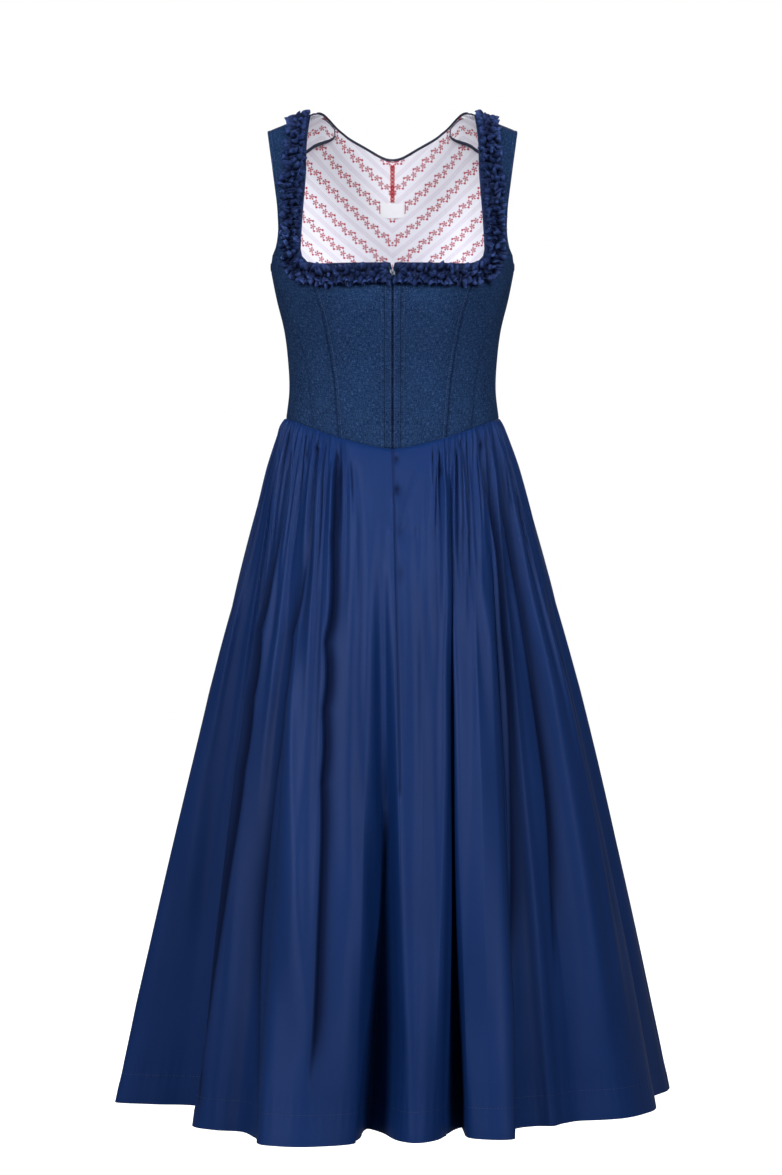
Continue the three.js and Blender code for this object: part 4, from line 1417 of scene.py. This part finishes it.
def hemOutline():
    anchors = []
    span = skirtForm["crownSpan"]
    for k, fold in enumerate(folds):
        before, after = folds[k - 1], folds[(k + 1) % len(folds)]
        turn = math.radians(fold["turn"])
        along = np.array([math.cos(turn), math.sin(turn)])
        outwards = np.array([math.sin(turn), -math.cos(turn)])
        crown = np.array([fold["crownX"], fold["crownY"]], float)
        toBefore = (fold["angle"] - before["angle"]) % 360
        toAfter = (after["angle"] - fold["angle"]) % 360

        def add(place, turned, neighbour, depth):
            other = np.array([neighbour["crownX"], neighbour["crownY"]], float)
            source = before if turned < 0 else fold
            anchors.append(
                {
                    "place": np.array(place, float),
                    "angle": fold["angle"] + turned,
                    "chord": crown + (other - crown) * depth / 2,
                    "sway": source["sway"] * depth,
                    "onset": source["onset"],
                    "narrow": source["narrow"],
                    "valley": 1.0 - (depth == 1),
                }
            )

        add(crown - along * fold["breadth"] / 2, -toBefore * span, before, 2 * span)
        add(crown + outwards * fold["swell"], 0, before, 0)
        add(crown + along * fold["breadth"] / 2, toAfter * span, after, 2 * span)
        add((fold["valleyX"], fold["valleyY"]), toAfter / 2, after, 1)
    return anchors


def centripetal(p0, p1, p2, p3, t):
    # a point of the closed curve between p1 and p2
    d0, d1, d2 = (max(np.linalg.norm(b - a) ** 0.5, 1e-4) for a, b in ((p0, p1), (p1, p2), (p2, p3)))
    start = ((p1 - p0) / d0 - (p2 - p0) / (d0 + d1) + (p2 - p1) / d1) * d1
    end = ((p2 - p1) / d1 - (p3 - p1) / (d1 + d2) + (p3 - p2) / d2) * d1
    t = t[:, None]
    return (
        p1
        + start * t
        + (-3 * p1 + 3 * p2 - 2 * start - end) * t**2
        + (2 * p1 - 2 * p2 + start + end) * t**3
    )


def clothLines():
    anchors = hemOutline()
    count = len(anchors)
    parts = {"hem": [], "chord": [], "angle": [], "sway": [], "onset": [], "narrow": [], "valley": []}
    for i, anchor in enumerate(anchors):
        following = anchors[(i + 1) % count]
        turn = (following["angle"] - anchor["angle"]) % 360
        side = "Front" if math.cos(math.radians(anchor["angle"] + turn / 2)) > 0 else "Back"
        hemSteps = np.linalg.norm(following["place"] - anchor["place"]) / columnSteps["hem" + side]
        waistSteps = turn / 360 * waist["round"] / columnSteps["waist" + side]
        steps = max(4, int(max(hemSteps, waistSteps)))
        t = np.arange(steps) / steps
        around = [anchors[(i + k) % count]["place"] for k in (-1, 0, 1, 2)]
        parts["hem"].append(centripetal(*around, t))
        parts["chord"].append(anchor["chord"] + (following["chord"] - anchor["chord"]) * t[:, None])
        parts["angle"].append((anchor["angle"] + turn * t) % 360)
        for label in ("sway", "onset", "narrow"):
            parts[label].append(anchor[label] + (following[label] - anchor[label]) * t)
        # how far each line is from the bottom of its valley: 0 there, 1 at the crown's end
        near = [0.0 if anchors[(i + k) % count]["valley"] == 0 else 1.0 for k in (0, 1)]
        parts["valley"].append(near[0] + (near[1] - near[0]) * t)
    return {label: np.concatenate(part) for label, part in parts.items()}


gathers = {"seed": 29, "flatFrom": 10, "flatTo": 25}

# sizes of gather: pitch and width at the waist, the width's growth down the skirt, height, and
# the least and greatest reach as shares of the way down
gatherSizes = table(
    ("pitch", "width", "growth", "height", "least", "greatest", "drift"),
    [
        (4.0, 0.95, 5.0, 1.6, 0.02, 0.08, 2.0),
        (7.0, 1.6, 5.0, 4.6, 0.05, 0.22, 5.0),
        (12.0, 2.4, 4.0, 5.8, 0.12, 0.7, 9.0),
        (22.0, 4.0, 2.0, 5.2, 0.5, 1.5, 10.0),
    ],
)
# narrow slits between the gathers, darkened with painted shade
slits = {"pitch": 8.0, "width": 0.8, "growth": 3.0, "depth": -3.0, "least": 0.03, "greatest": 0.26}


class Rows:
    # the skirt's rows, with the distance of cloth along each, for relief sized in millimetres
    def __init__(self, points, angle, share):
        steps = np.linalg.norm(np.diff(points, axis=1), axis=-1)
        self.arc = np.concatenate([np.zeros((len(points), 1)), np.cumsum(steps, axis=1)], axis=1)
        self.points = points
        self.angle = angle
        self.share = share
        self.height = np.zeros(self.arc.shape)
        # painted shade, from 0 to 1, for slits, fold valleys, hollows and the centre seam
        self.dark = np.zeros(self.arc.shape)

    def at(self, angle):
        return np.array([np.interp(angle % 360, self.angle, row) for row in self.arc])

    def window(self, angle, reach):
        apart = np.abs((self.angle - angle + 180) % 360 - 180)
        return np.where(apart < reach)[0]

    def addRidge(self, angle, drift, width, growth, height, fade, side=0.0):
        # a ridge, or a slit where the height is negative, with a softer lip beside it; a slit also gets
        # painted shade
        near = self.window(angle, 9)
        s = self.share[:, None]
        centre = self.at(angle)[:, None] + drift * s
        total = self.arc[:, -1:]
        away = (self.arc[:, near] - centre + total / 2) % total - total / 2
        wide = width * (1 + growth * s)
        shape = ridge(away, wide) - 0.3 * ridge(away - side * wide * 2, wide * 2.3)
        self.height[:, near] += height * shape * fade[:, None]
        if height < 0:
            self.dark[:, near] += ridge(away, wide * 0.8) * fade[:, None]

    def traced(self, xs, levels):
        # where each row's front reaches the given x, and how far down the traced line it is
        front = np.cos(np.radians(self.angle)) > 0.26
        level = -self.points[..., 2]
        wanted = np.interp(level, levels, xs)
        miss = np.abs(self.points[..., 0] - wanted) + np.where(front, 0, 1e6) + 0.15 * self.points[..., 1]
        best = np.argmin(miss, axis=1)
        rows = np.arange(len(best))
        before, after = np.maximum(best - 1, 0), np.minimum(best + 1, len(self.angle) - 1)
        step = self.arc[rows, after] - self.arc[rows, before]
        gained = self.points[rows, after, 0] - self.points[rows, before, 0]
        short = wanted[rows, best] - self.points[rows, best, 0]
        onward = short * step / np.maximum(gained, 0.25 * step)
        centre = self.arc[rows, best] + np.clip(onward, -step, step)
        for _ in range(20):
            centre[1:-1] = (centre[:-2] + 2 * centre[1:-1] + centre[2:]) / 4
        down = (level[rows, best] - levels[0]) / (levels[-1] - levels[0])
        return centre, down

    def addStep(self, fold, xs, levels):
        # one edge of cloth lying over its neighbour: the front side swells, the other sinks, with painted
        # shade along the edge and in the sunk valley
        centre, down = self.traced(xs, levels)
        away = (self.arc - centre[:, None]) * fold["front"]
        s = self.share[:, None]
        width = fold["width"] * (0.6 + 0.7 * s)
        over = 0.5 + 0.5 * np.tanh(away / width)
        swell = over * fold["swell"] * np.exp(-np.abs(away) / fold["swellReach"])
        sink = (1 - over) * fold["sink"] * np.exp(-np.abs(away) / fold["sinkReach"])
        fade = np.clip(down / fold["begin"], 0, 1) * np.clip((1 - down) / fold["end"] + 0.001, 0, 1)
        fade = fade * fade * (3 - 2 * fade)
        self.height += (swell - sink) * fade[:, None]
        edge = ridge(away + 0.7 * width, width)
        valley = ridge(away + 0.4 * fold["sinkReach"], fold["sinkReach"] * (0.3 + 0.5 * s))
        self.dark += fold["dark"] * (edge + fold["shade"] * valley) * fade[:, None]

    def shadeHollows(self, reach, depth, most):
        # painted shade: cloth below its neighbours is darkened
        shifts = range(-reach, reach + 1)
        around = sum(np.roll(self.height, k, axis=1) for k in shifts) / len(shifts)
        self.dark += most * np.clip((around - self.height) / depth, 0, 1)


# folds seen from the front: which side lies in front, how far it stands, and how much shade is painted
# on its edge and in the valley beside it
frontFolds = table(
    (
        "name",
        "front",
        "width",
        "swell",
        "swellReach",
        "sink",
        "sinkReach",
        "begin",
        "end",
        "dark",
        "shade",
    ),
    [
        ("outerLeft", 1, 3.4, 3.2, 26, 5.6, 18, 0.3, 0.3, 0.4, 1.3),
        ("farLeft", 1, 2.4, 4.6, 22, 7.4, 20, 0.12, 0.12, 0.6, 1.5),
        ("left", 1, 2.6, 4.6, 20, 7.4, 18, 0.2, 0.12, 0.8, 1.3),
        ("nearLeft", -1, 2.0, 4.0, 17, 6.0, 13, 0.05, 0.14, 0.65, 1.2),
        ("closing", -1, 3.0, 4.5, 26, 2.0, 12, 0.1, 0.01, 0.1, 0),
        ("nearRight", -1, 1.8, 3.6, 14, 3.0, 12, 0.06, 0.01, 0.45, 0),
        ("right", -1, 2.0, 5.4, 24, 7.4, 18, 0.1, 0.01, 0.8, 0.9),
        ("farRight", -1, 3.0, 4.0, 24, 5.6, 18, 0.15, 0.3, 0.45, 1.5),
        ("outerRight", -1, 3.6, 3.6, 28, 5.2, 20, 0.25, 0.4, 0.35, 1.3),
        ("shortLeft", 1, 1.5, 2.4, 9, 2.6, 7, 0.1, 0.5, 0.6, 0),
        ("shortMiddle", -1, 1.5, 2.0, 8, 2.6, 6, 0.1, 0.6, 0.7, 0),
        ("shortRight", -1, 1.5, 2.4, 8, 2.6, 7, 0.1, 0.6, 0.6, 0),
        ("besideRight", -1, 1.6, 2.4, 9, 2.6, 8, 0.1, 0.5, 0.6, 0),
        ("sideRight", -1, 2.0, 2.8, 12, 3.0, 9, 0.1, 0.5, 0.6, 0),
        ("slanting", 1, 3.0, 2.6, 12, 1.6, 10, 0.2, 0.5, 0.1, 0),
    ],
)
# the way each takes, as x at a level
foldPaths = {
    "outerLeft": ((-150, 538), (-175, 637), (-226, 830), (-256, 980)),
    "farLeft": ((-124, 459), (-144, 563), (-171, 791), (-208, 1020), (-222, 1180)),
    "left": ((-98, 500), (-108, 560), (-123, 714), (-149, 945), (-150, 1180)),
    "nearLeft": ((-66, 396), (-72, 490), (-76, 586), (-80.7, 831), (-88.7, 1058), (-92, 1130)),
    "closing": ((-5, 788), (-15.5, 866), (-19.5, 962), (-30, 1050), (-42.7, 1180)),
    "nearRight": ((65.4, 415), (67, 753), (65.6, 968), (59.7, 1180)),
    "right": ((99, 400), (117.5, 518), (132, 714), (136, 945), (134.5, 1185)),
    "farRight": ((113, 395), (134, 500), (153, 611), (180, 818), (188, 1040)),
    "outerRight": ((188, 560), (198, 609), (243, 831), (280, 1000)),
    "shortLeft": ((-84, 392), (-92, 450), (-99, 560)),
    "shortMiddle": ((-50, 410), (-49, 440), (-48, 480)),
    "shortRight": ((52, 408), (50, 450), (48, 530)),
    "besideRight": ((80, 396), (86, 460), (91, 580)),
    "sideRight": ((128, 384), (146, 440), (164, 540)),
    "slanting": ((34, 412), (18, 450), (6, 500), (3, 560)),
}


def addGathers(rows):
    draw = np.random.default_rng(gathers["seed"])
    share = rows.share
    flatFrom, flatTo = gathers["flatFrom"], gathers["flatTo"]
    for size in gatherSizes:
        count = int(rows.arc[0, -1] / size["pitch"])
        fine = size["pitch"] < 8
        for number in range(count):
            place = (number + 0.5 + draw.uniform(-0.45, 0.45)) * 360 / count
            fromFront = min(place, 360 - place)
            t = min(1, max(0, (fromFront - flatFrom) / (flatTo - flatFrom)))
            gathered = max(0.1 if fine else 0.45, t * t * (3 - 2 * t))
            reach = size["least"] + (size["greatest"] - size["least"]) * draw.uniform() ** 1.7 * gathered
            late = 0.12 * (1 - t)
            begin = np.clip((0.4 if fine else 0) + (share - late) / (0.02 if fine else 0.07), 0, 1)
            fade = begin * np.clip(1 - share / reach, 0, 1) ** 0.8
            height = size["height"] * draw.uniform(0.35, 1.25) * gathered
            width = size["width"] * draw.uniform(0.7, 1.35)
            drift = draw.uniform(-1, 1) * size["drift"]
            rows.addRidge(place, drift, width, size["growth"], height, fade)
    count = int(rows.arc[0, -1] / slits["pitch"])
    for number in range(count):
        place = (number + 0.5 + draw.uniform(-0.5, 0.5)) * 360 / count
        if min(place, 360 - place) < flatTo - 4:
            continue
        reach = slits["least"] + (slits["greatest"] - slits["least"]) * draw.uniform() ** 1.5
        begin = np.clip((share - draw.uniform(0, 0.02)) / 0.015, 0, 1)
        fade = begin * np.clip(1 - share / reach, 0, 1) ** 0.7
        depth = slits["depth"] * draw.uniform(0.6, 1.2)
        side = draw.choice([-1.0, 1.0])
        rows.addRidge(place, draw.uniform(-4, 4), slits["width"], slits["growth"], depth, fade, side)
    for fold in frontFolds:
        xs, levels = zip(*foldPaths[fold["name"]])
        rows.addStep(fold, xs, levels)
    around = rows.arc / rows.arc[:, -1:] * 2 * math.pi
    s = share[:, None]
    for number, size in ((19, 1.5), (31, 1.2), (53, 0.7)):
        shift = draw.uniform(0, 6.28)
        swing = np.sin(number * around + shift + 1.6 * np.sin(3 * around + shift) + 1.5 * s)
        rows.height += size * swing * np.clip((s - 0.04) / 0.3, 0, 1) * (1 - 0.5 * s)


# small pockets where gathers open just below the waist, sunk and darkened with painted shade
pockets = table(
    ("x", "level", "halfWidth", "halfHeight", "depth"),
    [
        (-89.7, 397, 1.7, 6.0, 3.4),
        (79.5, 391, 1.7, 5.5, 3.4),
        (56, 424, 1.4, 6.0, 2.6),
        (-101, 404, 1.2, 6.0, 2.0),
        (-64, 408, 1.2, 7.0, 2.2),
        (104, 392, 1.2, 7.0, 2.2),
        (4.5, 410, 2.6, 4.5, 2.4),
        (5.0, 446, 2.2, 5.0, 2.0),
    ],
)


def addPockets(rows):
    front = np.cos(np.radians(rows.angle))[None] > 0
    for row in pockets:
        aside = rows.points[..., 0] - row["x"]
        down = -rows.points[..., 2] - row["level"]
        well = ridge(aside, row["halfWidth"]) * ridge(down, row["halfHeight"]) * front
        lip = ridge(aside, 2.4 * row["halfWidth"]) * ridge(down + 2, 1.3 * row["halfHeight"]) * front
        rows.height += 0.5 * row["depth"] * lip - 1.4 * row["depth"] * well
        # painted shade in each pocket's well
        rows.dark += well


# small buckles beside the centre seam, proud or hollow
seamBuckles = table(
    ("level", "reach", "height"),
    [
        (424, 9, 1.6),
        (447, 8, -1.4),
        (470, 9, 1.5),
        (494, 7, -1.3),
        (520, 9, 1.0),
        (545, 8, -1.1),
    ],
)


centreSeam = {"end": 800, "fade": 20, "depth": 1.1, "width": 1.8, "tack": 792}


def addCentreSeam(rows):
    # the front's centre seam, puckered mostly on the wearer's left, down to a bar tack; painted shade lies
    # along the seam, at the tack and in the hollow buckles
    away = np.linalg.norm(rows.points - rows.points[:, :1], axis=-1)
    away = np.where(rows.angle < 180, away, -away)
    level = -rows.points[..., 2]
    sewn = np.clip((centreSeam["end"] - level) / centreSeam["fade"], 0, 1)
    rows.dark += 0.45 * ridge(away, 2.0) * sewn
    rows.height -= centreSeam["depth"] * ridge(away, centreSeam["width"]) * sewn
    rows.dark += 0.8 * ridge(away, 3.0) * ridge(level - centreSeam["tack"], 3.5)
    for buckle in seamBuckles:
        down = level - buckle["level"]
        bulge = ridge(down, buckle["reach"]) * ridge(away - 6, 4.5)
        rows.height += buckle["height"] * bulge
        rows.dark += 0.45 * (buckle["height"] < 0) * bulge
        rows.height -= 0.4 * buckle["height"] * ridge(down - 4, buckle["reach"]) * ridge(away + 6, 4)


def skirtLines():
    # the cloth's lines from the middle of the front round
    lines = clothLines()
    start = int(np.argmin(lines["angle"]))
    return {label: np.roll(part, -start, axis=0) for label, part in lines.items()}


def skirtFolds(lines, s):
    # the large folds, as points with their normals
    angle = lines["angle"]
    top = waistLevel(angle) + skirtForm["rimGap"]
    rimNormals = formNormal(angle, top)
    begin = formPoint(angle, top) + rimNormals * (wall["gather"] - wall["bodice"]) / 2
    spread = s ** skirtForm["exponent"] * (1 + skirtForm["belly"] * s * (1 - s))
    ripe = np.minimum(1, s / lines["onset"][None]) ** 1.4
    # above the hem the valleys are narrow, with broad cloth between them
    broad = 1 - np.exp(-((lines["valley"] / 0.3) ** 2))
    ripe = ripe * (1 - lines["narrow"][None] * broad[None] * (1 - s**3))
    hem = lines["chord"][None] + (lines["hem"] - lines["chord"])[None] * ripe[..., None]
    sway = lines["sway"][None] * 4 * s * (1 - s)
    x = begin[None, :, 0] + (hem[..., 0] - begin[None, :, 0]) * spread + sway
    y = begin[None, :, 1] + (hem[..., 1] - begin[None, :, 1]) * spread
    z = begin[None, :, 2] + (-waist["hem"] - begin[None, :, 2]) * s
    points = np.stack([x, y, z], -1)
    along = np.roll(points, -2, axis=1) - np.roll(points, 2, axis=1)
    across = unit(np.stack([along[..., 1], -along[..., 0], along[..., 0] * 0], -1))
    level = rimNormals * np.array([1.0, 1.0, 0.0])
    turn = np.minimum(1, s * 6)[..., None]
    return points, unit(unit(level)[None] * (1 - turn) + across * turn)


def nearestTo(angle, wanted):
    return int(np.argmin(np.abs((angle - wanted + 180) % 360 - 180)))


def makeSkirt():
    lines = skirtLines()
    angle = lines["angle"]
    even = np.linspace(0, 1, skirtForm["rows"])
    share = 0.35 * even + 0.65 * even**1.9
    s = share[:, None]
    points, normals = skirtFolds(lines, s)
    hemSteps = np.linalg.norm(lines["hem"] - np.roll(lines["hem"], 1, axis=0), axis=-1)
    hemAt = np.cumsum(hemSteps) - hemSteps[0]
    rows = Rows(points, angle, share)
    addGathers(rows)
    rows.shadeHollows(8, 3.5, 0.5)
    addCentreSeam(rows)
    addPockets(rows)
    drop = (1 - s) * hemline["height"]
    above = drop - hemline["stitches"]
    turnedUp = 0.5 * np.clip((hemline["turning"] - drop) / 3, 0, 1) - 0.55 * ridge(above, 1.6)
    pucker = 0.3 * np.sin(hemAt[None] * 0.62 + 2 * np.sin(hemAt[None] * 0.05)) * ridge(above, 9)
    height = rows.height + turnedUp + pucker
    for seam in (90, 180, 270):
        k = nearestTo(angle, seam)
        gone = np.linalg.norm(points - points[:, k : k + 1], axis=-1)
        height = height - 0.9 * ridge(gone, 1.6)
    outer = points + normals * height[..., None]
    depth = wall["gather"] + (wall["skirt"] - wall["gather"]) * np.minimum(1, s * 4)
    inner = points + normals * (height * 0.8 - depth)[..., None]
    uv = np.stack([hemAt[None] + s * 0, -s * hemline["cloth"] + hemAt[None] * 0], -1)
    nearest = [nearestTo(angle, quarter) for quarter in (0, 90, 180, 270)]
    stitchRow = int(np.argmin(np.abs(above[:, 0])))
    hemRows = []
    for number, name in enumerate(("front_left", "back_left", "back_right", "front_right")):
        first, last = nearest[number], nearest[(number + 1) % 4]
        count = (last - first) % len(angle) + 1
        own = (first + np.arange(count)) % len(angle)
        faces = [grid[:, own].copy() for grid in (outer, inner)]
        for grid in faces:
            grid[:, 0] += unit(grid[:, 1] - grid[:, 0]) * skirtForm["apart"]
            grid[:, -1] += unit(grid[:, -2] - grid[:, -1]) * skirtForm["apart"]
        grain = uv[:, own].copy()
        grain[:, :, 0] = np.where(own[None] < first, grain[:, :, 0] + hemAt[-1], grain[:, :, 0])
        # painted shade for this quarter's cloth
        dark = np.clip(rows.dark[:, own], 0, 1)
        piece = shell(f"skirt_cloth_{name}", *faces, grain, [sateen], painted_shade=dark)
        declare(piece, "sateen", f"skirt_{name}", (0.70, 0.82), 0.40, "gathered")
        hemRows.append((faces[0][stitchRow], normals[stitchRow, own]))
    stitchRows("hem_stitches", hemRows, navyThread, "sateen", pitch=4.2, length=1.9, thickness=0.2)


makeSkirt()
print("skirt made")

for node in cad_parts.values():
    if not node.hide_render:
        print("still shown:", node.name)
